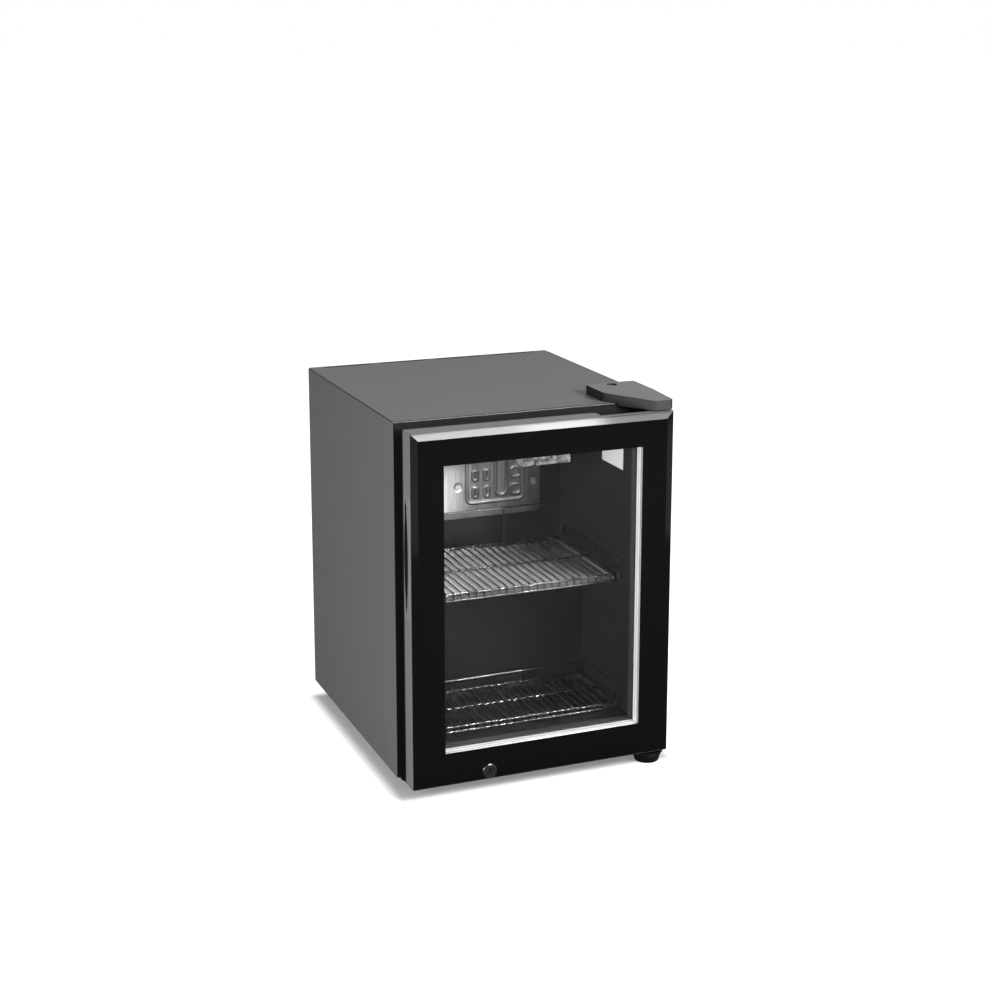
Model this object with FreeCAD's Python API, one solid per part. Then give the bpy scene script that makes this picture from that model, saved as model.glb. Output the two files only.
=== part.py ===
import FreeCAD, Part
import math
import os

# Glass door mini fridge, free standing, all sizes in millimetres.
# X runs to the right, Y runs from the door to the back, Z runs up from the floor.
# The origin is on the floor, under the middle of the overall width and depth.

V = FreeCAD.Vector

# Cabinet shell
cabinet_width = 368.0
cabinet_depth = 376.0
cabinet_height = 470.0
panel_sheet = 1.0
panel_flange = 12.0
seam_inset = 1.0
seam_drop = 1.4
rail_depth = 4.2
rail_height = 14.0
rail_gap = 0.8
base_sheet = 1.2
base_upstand = 10.0

# Vents
vent_groups = 4
vent_side_margin = 23.1
vent_gap = 12.5
vent_width = 5.0
vent_back_margin = 3.5
rear_slot_side_margin = 41.0
rear_slot_height = 4.0
rear_slot_pitch = 12.0
rear_slot_columns = 4
rear_slot_column_gap = 18.0
rear_slot_rows_low = 9
rear_slot_rows_high = 9
rear_slot_low_start = 72.0
rear_slot_high_top_margin = 34.0
rear_cover_clear = 1.0
controls_height = 238.0

# Inner box
liner_wall = 2.0
side_wall = 36.0
ceiling_wall = 38.0
floor_wall = 36.0
upper_back_room = 138.0
lower_back_room = 221.0
step_top = 192.0
back_foam = 48.0
step_foam = 33.0
divider_sheet = 1.0
rib_reach = 9.0
rib_thickness = 4.0
rib_front = 33.0
rib_back_clear = 8.0
trim_depth = 3.0
trim_lip = 1.0
trim_reach = 23.0
trim_panel_gap = 0.2

# Door
door_gap = 17.0
door_side_depth = 30.6
bevel_depth = 2.4
bevel_width = 9.6
door_side_inset = 4.5
door_lift = 1.0
door_drop = 5.0
rail_face = 43.5
lip_thickness = 2.0
glass_cover = 9.5
glass_fit = 0.5
pane_thickness = 4.0
spacer_depth = 12.0
spacer_width = 6.5
spacer_wall = 0.8
frame_wall = 3.0
frame_edge_wall = 8.0
key_fit = 0.3
key_arm = 24.0
key_thickness = 8.0
key_depth_inset = 8.0
pocket_length = 95.5
pocket_depth = 5.0
pocket_front_strip = 9.0
pocket_end_strip = 3.0

# Gasket
gasket_width = 8.5
gasket_side_inset = 19.5
gasket_bottom_inset = 25.0
gasket_top_inset = 19.5
gasket_face_gap = 0.3
gasket_bellows_depth = 5.0
gasket_bellows_inset = 1.6

# Hinges
pivot_from_door_edge = 19.0
pivot_from_door_front = 23.5
pin_radius = 4.0
pin_fit = 0.05
top_pin_reach = 18.0
top_pin_head_radius = 7.0
top_pin_head_height = 2.0
bush_wall = 2.0
bush_flange = 0.7
bush_flange_reach = 2.0
bush_length = 14.0
lower_pin_radius = 5.0
lower_pin_reach = 12.0
hinge_plate = 3.0
hinge_plate_side_clear = 4.0
hinge_plate_front_reach = 9.0
hinge_plate_width = 52.0
hinge_plate_back = 46.0
bracket_back = 46.0
bracket_width = 44.0
bracket_plate = 2.5
bracket_front_reach = 13.0
cover_height = 12.0
cover_wall = 2.0
cover_left = 108.5
cover_back = 70.0
cover_straight = 56.0
cover_corner_radius = 4.0
cover_skirt = 3.2
cover_slope_drop = 2.6
cover_notch = 3.0
cover_front_left = 153.5
cover_front_setback = 1.0
cover_screw_from_right = 42.0
cover_screw_back = 58.0
cover_screw_radius = 7.0
screw_radius = 2.0
screw_head_radius = 4.0
screw_head_height = 1.8
screw_length = 8.0
screw_pitch_on_hinge = 26.0
hinge_screw_margin = 9.0
cover_screw_end = 30.0

# Lock
lock_from_left = 108.0
lock_height = 13.0
lock_head_radius = 9.8
lock_head_proud = 2.0
lock_body_radius = 7.5
lock_nut_radius = 10.0
lock_nut_depth = 3.0
lock_head_round = 0.8
plug_recess = 0.4
tail_radius = 3.0
plug_radius = 5.6
plug_fit = 0.05
key_slot_width = 1.6
key_slot_height = 7.0
key_slot_depth = 2.5
cam_length = 22.0
cam_width = 11.0
cam_thickness = 2.5
cam_corner = 2.5
cam_gap = 0.3
cam_screw_radius = 4.4
cam_screw_height = 2.0
strike_plate = 2.0
strike_clear = 0.8
strike_arm = 5.0
strike_back = 26.0

# Grip in the door's left edge
grip_height = 160.0
grip_bottom = 225.0
grip_width = 24.5
grip_depth = 6.5
grip_front_strip = 0.8
grip_fit = 0.1
grip_lens_width = 14.5
grip_lens_depth = 3.0
grip_slot_width = 7.0
grip_strip_width = 9.0
grip_groove = 0.8
grip_slot_length = 50.0
grip_slot_depth = 5.4
grip_bridge = 34.0

# Feet
foot_height = 18.0
foot_bottom_radius = 16.5
foot_top_radius = 21.5
foot_pad_height = 15.0
foot_groove = 1.2
foot_groove_height = 1.4
foot_rim = 2.4
foot_stud_radius = 3.0
foot_stud_fit = 0.05
front_foot_from_side = 32.0
front_foot_back = 32.0
boss_radius = 8.0
boss_height = 9.0
rear_foot_radius = 14.0
rear_foot_from_side = 34.0
rear_foot_from_back = 36.0

# Cooling plate on the inner back wall
plate_side_gap = 37.0
plate_top = 416.0
plate_bottom = 268.0
plate_sheet = 1.6
plate_from_wall = 10.0
plate_corner = 10.0
plate_lip = 3.0
plate_fold = 277.5
channel_width = 6.0
channel_height = 1.4
plate_screw_height = 313.7
plate_screw_shares = (-0.9, -0.12, 0.9)
plate_screw_radius = 4.2
plate_post_radius = 5.0
short_loop_widths = (9.0, 9.0, 18.0)
long_loop_width = 20.0
long_loop_lift = 8.0
short_loop_shares = (0.111, 0.268, 0.664)
loop_row_shares = (0.243, 0.409)
long_loop_share = 0.464
border_shares = (0.0, 0.766)
loop_height = 17.0
border_inset = 14.0
border_bottom_inset = 19.5

# Inner lamp and label
lamp_left = -5.2
lamp_length = 65.4
lamp_front = 10.0
lamp_width = 26.0
lamp_drop = 38.5
lamp_base_height = 8.0
lamp_lens_wall = 1.6
lamp_board_height = 1.6
lamp_board_margin = 6.0
lamp_led_count = 6
lamp_led_size = 5.0
lamp_led_height = 1.4
lamp_rib_pitch = 4.0
lamp_rib_reach = 0.6
label_front = 33.0
label_width = 64.0
label_bottom = 370.0
label_height = 44.0
label_thickness = 0.4

# Wire shelves
wire_radius = 1.3
bar_radius = 1.6
wire_pitch = 10.7
shelf_side_clear = 3.5
shelf_front = 25.0
upper_shelf_height = 231.0
upper_shelf_back_gap = 19.0
upper_mid_share = 0.492
lower_shelf_height = 48.0
lower_shelf_back_gap = 5.0
lower_mid_share = 0.504
wire_nose = 2.6
upper_bar_drop = 9.0
lower_bar_drop = 6.5
weld_sink = 0.5
wire_tip = 0.4
post_radius = 1.2
side_guard_upper = 16.0
side_guard_lower = 20.0
back_guard_upper = 49.0
back_guard_lower = 13.0
guard_inset = 7.5
guard_middle = 52.0
guard_front_setback = 12.0
shelf_rest_gap = 0.25
tray_wall = 2.0
tray_height = 5.2
tray_side_gap = 9.0
tray_front_gap = 1.0
tray_back_gap = 12.0
tray_rest_gap = 0.2
tray_lip_drop = 2.2
hanger_gap = 0.5

# Cooling machinery in the rear space
compressor_from_side = 122.0
compressor_width = 150.0
compressor_depth = 118.0
compressor_height = 118.0
compressor_from_cover = 80.0
compressor_rounding = 34.0
compressor_end_rounding = 28.0
compressor_wall = 3.0
compressor_plate_setback = 11.0
core_top_gap = 14.0
core_rounding = 16.0
compressor_plate = 2.5
compressor_plate_margin = 16.0
grommet_radius = 9.0
grommet_height = 14.0
grommet_neck = 4.0
grommet_neck_reach = 3.0
terminal_width = 30.0
terminal_depth = 56.0
terminal_height = 52.0
terminal_lift = 42.0
pipe_radius = 2.4
pipe_bend = 12.0
discharge_offset = 36.0
suction_radius = 3.0
suction_offset = 14.0
suction_from_top = 24.0
suction_from_divider = 12.0
coil_side_gap = 46.0
coil_bottom = 196.0
coil_runs = 7
coil_pitch = 36.0
coil_from_divider = 26.0
coil_drop_offset = 22.0
clip_width = 9.0
clip_margin = 3.2
clip_share = 0.7
clip_fit = 0.05
drier_radius = 8.0
drier_length = 84.0
drier_neck = 10.0
drier_above_pan = 24.0
drain_radius = 6.0
drain_bore = 4.2
drain_from_pan_end = 8.0
drain_above_step = 8.0
drain_overhang = 8.0
pan_side_gap = 12.0
pan_terminal_gap = 9.0
pan_depth = 96.0
pan_height = 28.0
pan_wall = 1.6
pan_from_cover = 82.0

# Rear controls and supply inlet
knob_from_side = 64.0
knob_radius = 17.0
knob_height = 11.0
knob_rib_count = 20
knob_rib_radius = 1.1
knob_cup_radius = 22.0
knob_cup_wall = 1.4
knob_cup_depth = 14.0
knob_notch = 2.4
knob_shaft_fit = 0.05
knob_gap = 0.6
knob_shaft_radius = 3.0
knob_shaft_reach = 8.0
thermostat_width = 46.0
thermostat_height = 34.0
thermostat_depth = 24.0
rocker_from_side = 112.0
rocker_width = 13.0
rocker_height = 20.0
rocker_depth = 6.0
rocker_tilt = 9.0
rocker_axle_radius = 1.5
rocker_axle_fit = 0.05
rocker_fit = 0.5
rocker_inset = 5.2
axle_reach = 1.4
axle_end_gap = 0.3
switch_wall = 2.0
switch_depth = 22.0
inlet_from_side = 54.0
inlet_height = 34.0
inlet_cavity_width = 25.0
inlet_cavity_height = 17.0
inlet_cavity_depth = 16.0
inlet_wall = 2.0
inlet_flange_width = 46.0
inlet_flange_height = 28.0
inlet_flange_depth = 0.8
inlet_pin_width = 2.0
inlet_pin_height = 4.0
inlet_pin_length = 10.5
inlet_pin_pitch = 7.0

# Cuts run past the faces that they pass through by this much
overrun = 1.0

# How nearly an edge must follow a direction to count as running along it
near_one_share = 0.999
edge_share = 0.001

# Derived places
knob_z = foot_height + controls_height
inlet_z = foot_height + inlet_height
cross_bar_level = weld_sink - wire_radius - bar_radius
suction_z = foot_height + plate_top - suction_from_top
half_width = cabinet_width / 2
base_z = foot_height
top_z = base_z + cabinet_height
door_depth = door_side_depth + bevel_depth
overall_depth = cabinet_depth + door_gap + door_depth + lock_head_proud
face_y = -overall_depth / 2 + lock_head_proud + door_depth + door_gap
back_y = face_y + cabinet_depth
cover_inner_y = back_y - panel_sheet
liner_half = half_width - side_wall
plate_half_width = liner_half - plate_side_gap
plate_screw_xs = [share * plate_half_width for share in plate_screw_shares]
shelf_half_width = liner_half - shelf_side_clear
liner_floor = base_z + floor_wall
liner_ceiling = top_z - ceiling_wall
step_z = base_z + step_top
upper_depth = cabinet_depth - upper_back_room
lower_depth = cabinet_depth - lower_back_room
upper_shelf_back = upper_depth - upper_shelf_back_gap
lower_shelf_back = lower_depth - lower_shelf_back_gap
upper_back_y = face_y + upper_depth
lower_back_y = face_y + lower_depth
divider_upper_y = upper_back_y + liner_wall + back_foam
divider_lower_y = lower_back_y + liner_wall + step_foam
divider_roof_z = step_z - liner_wall - step_foam
vent_length = (cabinet_width - 2 * vent_side_margin - (vent_groups - 1) * vent_gap) / vent_groups
rear_slot_length = (cabinet_width - 2 * rear_slot_side_margin
                    - (rear_slot_columns - 1) * rear_slot_column_gap) / rear_slot_columns
compressor_place = half_width - compressor_from_side
suction_place = compressor_place + suction_offset
coil_half_width = half_width - coil_side_gap
pan_left = -half_width + pan_side_gap
pan_right = compressor_place - compressor_width / 2 - terminal_width - pan_terminal_gap
drain_place = pan_right - drain_from_pan_end
knob_place = half_width - knob_from_side
rocker_place = half_width - rocker_from_side
inlet_place = -half_width + inlet_from_side

door_left = -half_width + door_side_inset
door_right = half_width - door_side_inset
door_bottom = base_z + door_lift
door_top = top_z - door_drop
door_back_y = face_y - door_gap
door_front_y = door_back_y - door_depth
door_side_y = door_front_y + bevel_depth
glass_y = door_front_y + lip_thickness
glass_back_y = glass_y + 2 * pane_thickness + spacer_depth
pack_edge = rail_face - glass_cover - glass_fit
glass_edge = pack_edge + glass_fit

pivot_x = door_right - pivot_from_door_edge
pivot_y = door_front_y + pivot_from_door_front
lock_x = -half_width + lock_from_left
lock_z = base_z + lock_height


def box(x0, x1, y0, y1, z0, z1):
    """A box between two values on each axis."""
    return Part.makeBox(x1 - x0, y1 - y0, z1 - z0, V(x0, y0, z0))


def rod(radius, start, end):
    """A round bar from one point to another."""
    run = end - start
    return Part.makeCylinder(radius, run.Length, start, run)


def prism(points, direction):
    """A flat outline pushed along a direction."""
    return Part.Face(Part.makePolygon(points + points[:1])).extrude(direction)


def ring(x0, x1, z0, z1, inset, y0, y1):
    """A rectangular ring with walls of one width, standing in the XZ plane."""
    outer = box(x0, x1, y0, y1, z0, z1)
    hole = box(x0 + inset, x1 - inset, y0 - overrun, y1 + overrun, z0 + inset, z1 - inset)
    return outer.cut(hole)


def edges_along(shape, direction):
    """The straight edges of a shape that run along a direction."""
    return [edge for edge in shape.Edges
            if edge.Curve.TypeId == "Part::GeomLine"
            and abs(edge.tangentAt(edge.FirstParameter).dot(direction)) > near_one_share]


def ring_room(x, y, z, radius, length, direction):
    """A round room for a pin, tube or boss, run past both ends."""
    unit = V(direction).normalize()
    return Part.makeCylinder(radius, length + 2 * overrun, V(x, y, z) - unit * overrun, unit)


def fuse_all(shapes):
    """One solid out of pieces that meet."""
    return shapes[0].multiFuse(shapes[1:]).removeSplitter()


def cut_all(shape, tools):
    """The shape with every tool taken away."""
    return shape.cut(Part.makeCompound(tools)) if tools else shape


def bent_path(points, bend):
    """Straight runs joined by tangent arcs, as wires or pipes are bent."""
    edges = []
    start = points[0]
    for before, corner, after in zip(points, points[1:], points[2:]):
        inward = (before - corner).normalize()
        outward = (after - corner).normalize()
        half_turn = (math.pi - inward.getAngle(outward)) / 2
        setback = bend * math.tan(half_turn)
        first = corner + inward * setback
        last = corner + outward * setback
        middle_way = (inward + outward).normalize()
        middle = corner + middle_way * (bend / math.cos(half_turn) - bend)
        edges.append(Part.LineSegment(start, first).toShape())
        edges.append(Part.Arc(first, middle, last).toShape())
        start = last
    edges.append(Part.LineSegment(start, points[-1]).toShape())
    return Part.Wire(edges)


def bent_rod(points, radius, bend):
    """A round bar or pipe along a bent path."""
    path = bent_path(points, bend)
    heading = points[1] - points[0]
    profile = Part.Wire(Part.makeCircle(radius, points[0], heading))
    return path.makePipeShell([profile], True, False)


def screw(place, direction, length, head_radius=screw_head_radius):
    """A screw whose head sits on the place given, with its shank along the direction."""
    unit = V(direction).normalize()
    head = Part.makeCylinder(head_radius, screw_head_height, place, unit * -1)
    shank = Part.makeCylinder(screw_radius, length, place, unit)
    return head.fuse(shank)


def screw_hole(place, direction, length):
    """The room that a screw's shank takes in what it holds."""
    unit = V(direction).normalize()
    return Part.makeCylinder(screw_radius, length + overrun, place - unit * overrun, unit)


# Cabinet panels


def side_panel(side):
    """One side sheet with its front and rear flanges turned inwards."""
    outer = side * half_width
    inner = outer - side * panel_sheet
    flange = outer - side * panel_flange
    top = top_z - seam_drop
    low, high = sorted((outer, inner))
    wall = box(low, high, face_y, cover_inner_y, base_z, top)
    low, high = sorted((outer, flange))
    front = box(low, high, face_y, face_y + panel_sheet, base_z, top)
    rear = box(low, high, cover_inner_y - panel_sheet, cover_inner_y, base_z, top)
    return fuse_all([wall, front, rear])


def vent_tools():
    """Long slots in a row along the back of the top panel."""
    tools = []
    total = vent_groups * vent_length + (vent_groups - 1) * vent_gap
    back = back_y - vent_back_margin
    for group in range(vent_groups):
        x0 = -total / 2 + group * (vent_length + vent_gap)
        tools.append(box(x0, x0 + vent_length, back - vent_width, back,
                         top_z - panel_sheet - overrun, top_z + overrun))
    return tools


def top_panel():
    """The top sheet, a little narrower than the sides, with vents and a turned front edge."""
    reach = half_width - seam_inset
    front = face_y + rail_depth + rail_gap
    sheet = box(-reach, reach, front, back_y, top_z - panel_sheet, top_z)
    skirt_reach = half_width - panel_sheet
    skirt = box(-skirt_reach, skirt_reach, front, front + panel_sheet,
                top_z - rail_height, top_z - panel_sheet)
    return cut_all(fuse_all([sheet, skirt]), vent_tools() + hinge_screw_tools())


def top_rail():
    """The rail along the top of the opening, which the top panel butts against."""
    reach = half_width - panel_flange
    face = box(-half_width + panel_sheet, half_width - panel_sheet, face_y + panel_sheet,
               face_y + rail_depth, top_z - rail_height, top_z - seam_drop / 2)
    front = box(-reach, reach, face_y, face_y + panel_sheet, top_z - rail_height,
                top_z - seam_drop / 2)
    return fuse_all([face, front])


def front_foot_places():
    """The left foot stands under the cabinet, the right one under the lower hinge."""
    left = V(-half_width + front_foot_from_side, face_y + front_foot_back, 0)
    right = V(pivot_x, pivot_y, 0)
    return left, right


def base_pan():
    """The floor sheet with a front upstand and a threaded boss for the left front foot."""
    reach = half_width - panel_sheet
    floor = box(-reach, reach, face_y, cover_inner_y, base_z, base_z + base_sheet)
    inner = half_width - panel_flange
    front = box(-inner, inner, face_y, face_y + base_sheet, base_z, base_z + base_upstand)
    left, right = front_foot_places()
    boss = Part.makeCylinder(boss_radius, boss_height, V(left.x, left.y, base_z))
    corner_notches = [
        box(-reach - overrun, -inner, face_y - overrun, face_y + panel_sheet,
            base_z - overrun, base_z + base_upstand),
        box(inner, reach + overrun, face_y - overrun, face_y + panel_sheet,
            base_z - overrun, base_z + base_upstand),
        box(-reach - overrun, -inner, cover_inner_y - panel_sheet, cover_inner_y + overrun,
            base_z - overrun, base_z + base_upstand),
        box(inner, reach + overrun, cover_inner_y - panel_sheet, cover_inner_y + overrun,
            base_z - overrun, base_z + base_upstand),
    ]
    stud_hole = Part.makeCylinder(foot_stud_radius + foot_stud_fit, boss_height + 2 * overrun,
                                  V(left.x, left.y, base_z - overrun))
    tools = corner_notches + [stud_hole] + bracket_screw_tools()
    return cut_all(fuse_all([floor, front, boss]), tools)


def rear_slot_tools():
    """Two fields of cooling slots in the rear cover."""
    tools = []
    total = (rear_slot_columns * rear_slot_length
             + (rear_slot_columns - 1) * rear_slot_column_gap)
    low = [base_z + rear_slot_low_start + row * rear_slot_pitch
           for row in range(rear_slot_rows_low)]
    high = [top_z - rear_slot_high_top_margin - row * rear_slot_pitch
            for row in range(rear_slot_rows_high)]
    for z in low + high:
        for column in range(rear_slot_columns):
            x0 = -total / 2 + column * (rear_slot_length + rear_slot_column_gap)
            tools.append(box(x0, x0 + rear_slot_length, cover_inner_y - overrun,
                             back_y + overrun, z, z + rear_slot_height))
    return tools


def rear_cover():
    """The slotted sheet that closes the machinery space."""
    reach = half_width - rear_cover_clear
    sheet = box(-reach, reach, cover_inner_y, back_y, base_z + rear_cover_clear,
                top_z - panel_sheet - rear_cover_clear)
    knob_hole = Part.makeCylinder(knob_cup_radius, panel_sheet + 2 * overrun,
                                  V(knob_place, cover_inner_y - overrun, knob_z), V(0, 1, 0))
    half_w = rocker_width / 2 + rocker_fit + switch_wall
    half_h = rocker_height / 2 + rocker_fit + switch_wall
    switch_hole = box(rocker_place - half_w, rocker_place + half_w, cover_inner_y - overrun,
                      back_y + overrun, knob_z - half_h, knob_z + half_h)
    inlet_w = inlet_cavity_width / 2 + inlet_wall
    inlet_h = inlet_cavity_height / 2 + inlet_wall
    inlet_hole = box(inlet_place - inlet_w, inlet_place + inlet_w, cover_inner_y - overrun,
                     back_y + overrun, inlet_z - inlet_h, inlet_z + inlet_h)
    tools = rear_slot_tools() + [knob_hole, switch_hole, inlet_hole] + cover_screw_tools()
    return cut_all(sheet, tools)


def divider_sheet_part():
    """The stepped sheet between the foam and the machinery space."""
    reach = half_width - panel_sheet
    lower = box(-reach, reach, divider_lower_y, divider_lower_y + divider_sheet,
                base_z + base_sheet, divider_roof_z)
    roof = box(-reach, reach, divider_lower_y, divider_upper_y + divider_sheet,
               divider_roof_z - divider_sheet, divider_roof_z)
    upper = box(-reach, reach, divider_upper_y, divider_upper_y + divider_sheet,
                divider_roof_z - divider_sheet, top_z - panel_sheet)
    return cut_all(fuse_all([lower, roof, upper]), [drain_room(), suction_room()])


# Inner box


def liner_space(grow):
    """The stepped cooling space, grown on every side but the front."""
    reach = liner_half + grow
    upper = box(-reach, reach, face_y, upper_back_y + grow, step_z - grow, liner_ceiling + grow)
    lower = box(-reach, reach, face_y, lower_back_y + grow, liner_floor - grow,
                liner_ceiling + grow)
    return fuse_all([upper, lower])


def liner_ribs():
    """Ledges on both side walls that the wire shelves rest on."""
    ribs = []
    for height, back in ((upper_shelf_height, upper_depth), (lower_shelf_height, lower_depth)):
        top = base_z + height + cross_bar_level - bar_radius - shelf_rest_gap
        y0 = face_y + rib_front
        y1 = face_y + back - rib_back_clear
        for side in (-1, 1):
            low, high = sorted((side * (liner_half - rib_reach), side * (liner_half + liner_wall)))
            ribs.append(box(low, high, y0, y1, top - rib_thickness, top))
    return ribs


def inner_liner():
    """The moulded inner box, open at the front, with a flange behind the trim."""
    shell = liner_space(liner_wall)
    reach = liner_half + trim_reach - panel_sheet
    flange = box(-reach, reach, face_y + trim_depth, face_y + trim_depth + liner_wall,
                 liner_floor - trim_reach + base_upstand, liner_ceiling + trim_reach - rail_height)
    space = liner_space(0)
    front_room = box(-half_width, half_width, face_y - overrun, face_y + trim_depth,
                     base_z, top_z)
    body = fuse_all([shell, flange]).cut(space).cut(front_room)
    body = fuse_all([body] + liner_ribs())
    holes = [plate_screw_room(x) for x in plate_screw_xs] + [drain_room(), suction_room()]
    return cut_all(body, holes)


def foam_body():
    """Insulation that fills the space between the liner, the panels and the divider."""
    reach = half_width - panel_sheet
    front = face_y + trim_depth + liner_wall
    upper = box(-reach, reach, front + panel_sheet, divider_upper_y, divider_roof_z,
                top_z - panel_sheet)
    lower = box(-reach, reach, front + panel_sheet, divider_lower_y, base_z + base_sheet,
                top_z - panel_sheet)
    block = fuse_all([upper, lower])
    left, right = front_foot_places()
    boss_room = Part.makeCylinder(boss_radius, boss_height + overrun,
                                  V(left.x, left.y, base_z + base_sheet - overrun))
    tools = [liner_space(liner_wall), boss_room, drain_room(), suction_room()]
    tools += [plate_screw_room(x) for x in plate_screw_xs]
    tools += hinge_screw_tools() + bracket_screw_tools()
    for tool in tools:
        block = block.cut(tool)
    return block


def front_trim():
    """The ring of moulding round the opening that the door seal closes on."""
    outer_x = half_width - panel_flange - trim_panel_gap
    low = base_z + base_upstand + trim_panel_gap
    high = top_z - rail_height - trim_panel_gap
    outer = box(-outer_x, outer_x, face_y, face_y + trim_depth, low, high)
    inner = box(-liner_half + trim_lip, liner_half - trim_lip, face_y - overrun,
                face_y + trim_depth + overrun, liner_floor + trim_lip, liner_ceiling - trim_lip)
    return outer.cut(inner)


# Cooling plate


plate_y = upper_back_y - plate_from_wall


def plate_screw_room(x):
    """The hole for one fixing post of the cooling plate."""
    return Part.makeCylinder(screw_radius, liner_wall + screw_length + overrun,
                             V(x, upper_back_y - overrun, base_z + plate_screw_height),
                             V(0, 1, 0))


def stadium(x0, x1, z0, z1, radius):
    """A block with rounded corners raised on the front of the cooling plate."""
    body = box(x0, x1, plate_y - channel_height, plate_y, z0, z1)
    return body.makeFillet(radius, edges_along(body, V(0, 1, 0)))


def loop_channel(centre_x, width, z0, z1):
    """A closed loop of raised channel with round ends."""
    wall = channel_width / 2
    left = centre_x - width / 2
    right = centre_x + width / 2
    outer = stadium(left, right, z0, z1, wall)
    inner = box(left + wall, right - wall, plate_y - channel_height - overrun,
                plate_y + overrun, z0 + wall, z1 - wall)
    return outer.cut(inner)


def evaporator_plate():
    """The cooling plate: a sheet with raised refrigerant channels and a turned lower lip."""
    top = base_z + plate_top
    bottom = base_z + plate_bottom
    height = top - bottom
    sheet = box(-plate_half_width, plate_half_width, plate_y, plate_y + plate_sheet, bottom, top)
    lower = [edge for edge in edges_along(sheet, V(0, 1, 0)) if edge.CenterOfMass.z < top]
    sheet = sheet.makeFillet(plate_corner, lower)
    lip_reach = plate_half_width - plate_corner
    lip = prism([V(-lip_reach, plate_y, base_z + plate_fold),
                 V(-lip_reach, plate_y - plate_lip, bottom),
                 V(-lip_reach, plate_y, bottom)], V(2 * lip_reach, 0, 0))
    shapes = [sheet, lip]
    channel_top = top - border_inset
    channel_bottom = bottom + border_bottom_inset
    for share, width in zip(short_loop_shares, short_loop_widths):
        for row in loop_row_shares:
            centre = bottom + row * height
            shapes.append(loop_channel(share * plate_half_width, width,
                                       centre - loop_height / 2, centre + loop_height / 2))
    shapes.append(loop_channel(long_loop_share * plate_half_width, long_loop_width,
                               channel_bottom + long_loop_lift, channel_top))
    left, right = [share * plate_half_width for share in border_shares]
    shapes.append(loop_channel((left + right) / 2, right - left + channel_width,
                               channel_bottom, channel_top + channel_width))
    holes = [Part.makeCylinder(screw_radius, channel_height + plate_sheet + 2 * overrun,
                               V(x, plate_y - channel_height - overrun,
                                 base_z + plate_screw_height), V(0, 1, 0))
             for x in plate_screw_xs]
    holes.append(Part.makeCylinder(suction_radius, plate_sheet + overrun,
                                   V(suction_place, plate_y, suction_z), V(0, 1, 0)))
    return cut_all(fuse_all(shapes), holes)


def evaporator_screws():
    """Posts behind the plate with round-headed screws in front."""
    shapes = []
    for x in plate_screw_xs:
        place = V(x, plate_y, base_z + plate_screw_height)
        head = Part.makeCylinder(plate_screw_radius, screw_head_height, place, V(0, -1, 0))
        shank = Part.makeCylinder(screw_radius, plate_from_wall + liner_wall + screw_length, place,
                                  V(0, 1, 0))
        post = Part.makeCylinder(plate_post_radius, plate_from_wall - plate_sheet,
                                 place + V(0, plate_sheet, 0), V(0, 1, 0))
        shapes.append(fuse_all([head, shank, post]))
    return Part.makeCompound(shapes)


# Lamp and label


lamp_y = face_y + lamp_front
lamp_base_z = liner_ceiling - lamp_base_height
lamp_low_z = liner_ceiling - lamp_drop


def lamp_base():
    """The lamp's holder on the ceiling of the liner."""
    return box(lamp_left, lamp_left + lamp_length, lamp_y, lamp_y + lamp_width,
               lamp_base_z, liner_ceiling)


def lamp_board():
    """The circuit board with a row of light sources, under the holder."""
    board = box(lamp_left + lamp_board_margin, lamp_left + lamp_length - lamp_board_margin,
                lamp_y + lamp_board_margin, lamp_y + lamp_width - lamp_board_margin,
                lamp_base_z - lamp_board_height, lamp_base_z)
    shapes = [board]
    usable = lamp_length - 2 * lamp_board_margin - lamp_led_size
    middle = lamp_y + lamp_width / 2
    for index in range(lamp_led_count):
        x0 = lamp_left + lamp_board_margin + usable * index / (lamp_led_count - 1)
        shapes.append(box(x0, x0 + lamp_led_size, middle - lamp_led_size / 2,
                          middle + lamp_led_size / 2,
                          lamp_base_z - lamp_board_height - lamp_led_height,
                          lamp_base_z - lamp_board_height))
    return fuse_all(shapes)


def lamp_lens():
    """The clear cover, open at the top, with small ribs on its front face."""
    outer = box(lamp_left, lamp_left + lamp_length, lamp_y, lamp_y + lamp_width,
                lamp_low_z, lamp_base_z)
    inner = box(lamp_left + lamp_lens_wall, lamp_left + lamp_length - lamp_lens_wall,
                lamp_y + lamp_lens_wall, lamp_y + lamp_width - lamp_lens_wall,
                lamp_low_z + lamp_lens_wall, lamp_base_z + overrun)
    ribs = []
    count = int(lamp_length / lamp_rib_pitch) - 1
    for index in range(count):
        x = lamp_left + lamp_rib_pitch * (index + 1)
        ribs.append(prism([V(x - lamp_rib_reach, lamp_y, lamp_low_z),
                           V(x, lamp_y - lamp_rib_reach, lamp_low_z),
                           V(x + lamp_rib_reach, lamp_y, lamp_low_z)],
                          V(0, 0, lamp_base_z - lamp_low_z)))
    return fuse_all([outer.cut(inner)] + ribs)


def wall_label():
    """A plain blank plate on the right inner wall."""
    return box(liner_half - label_thickness, liner_half, face_y + label_front,
               face_y + label_front + label_width, base_z + label_bottom,
               base_z + label_bottom + label_height)


# Wire shelves


def shelf_levels(height):
    """The heights of the wires and of the cross bars welded under them."""
    z = base_z + height
    return z, z + cross_bar_level


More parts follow.
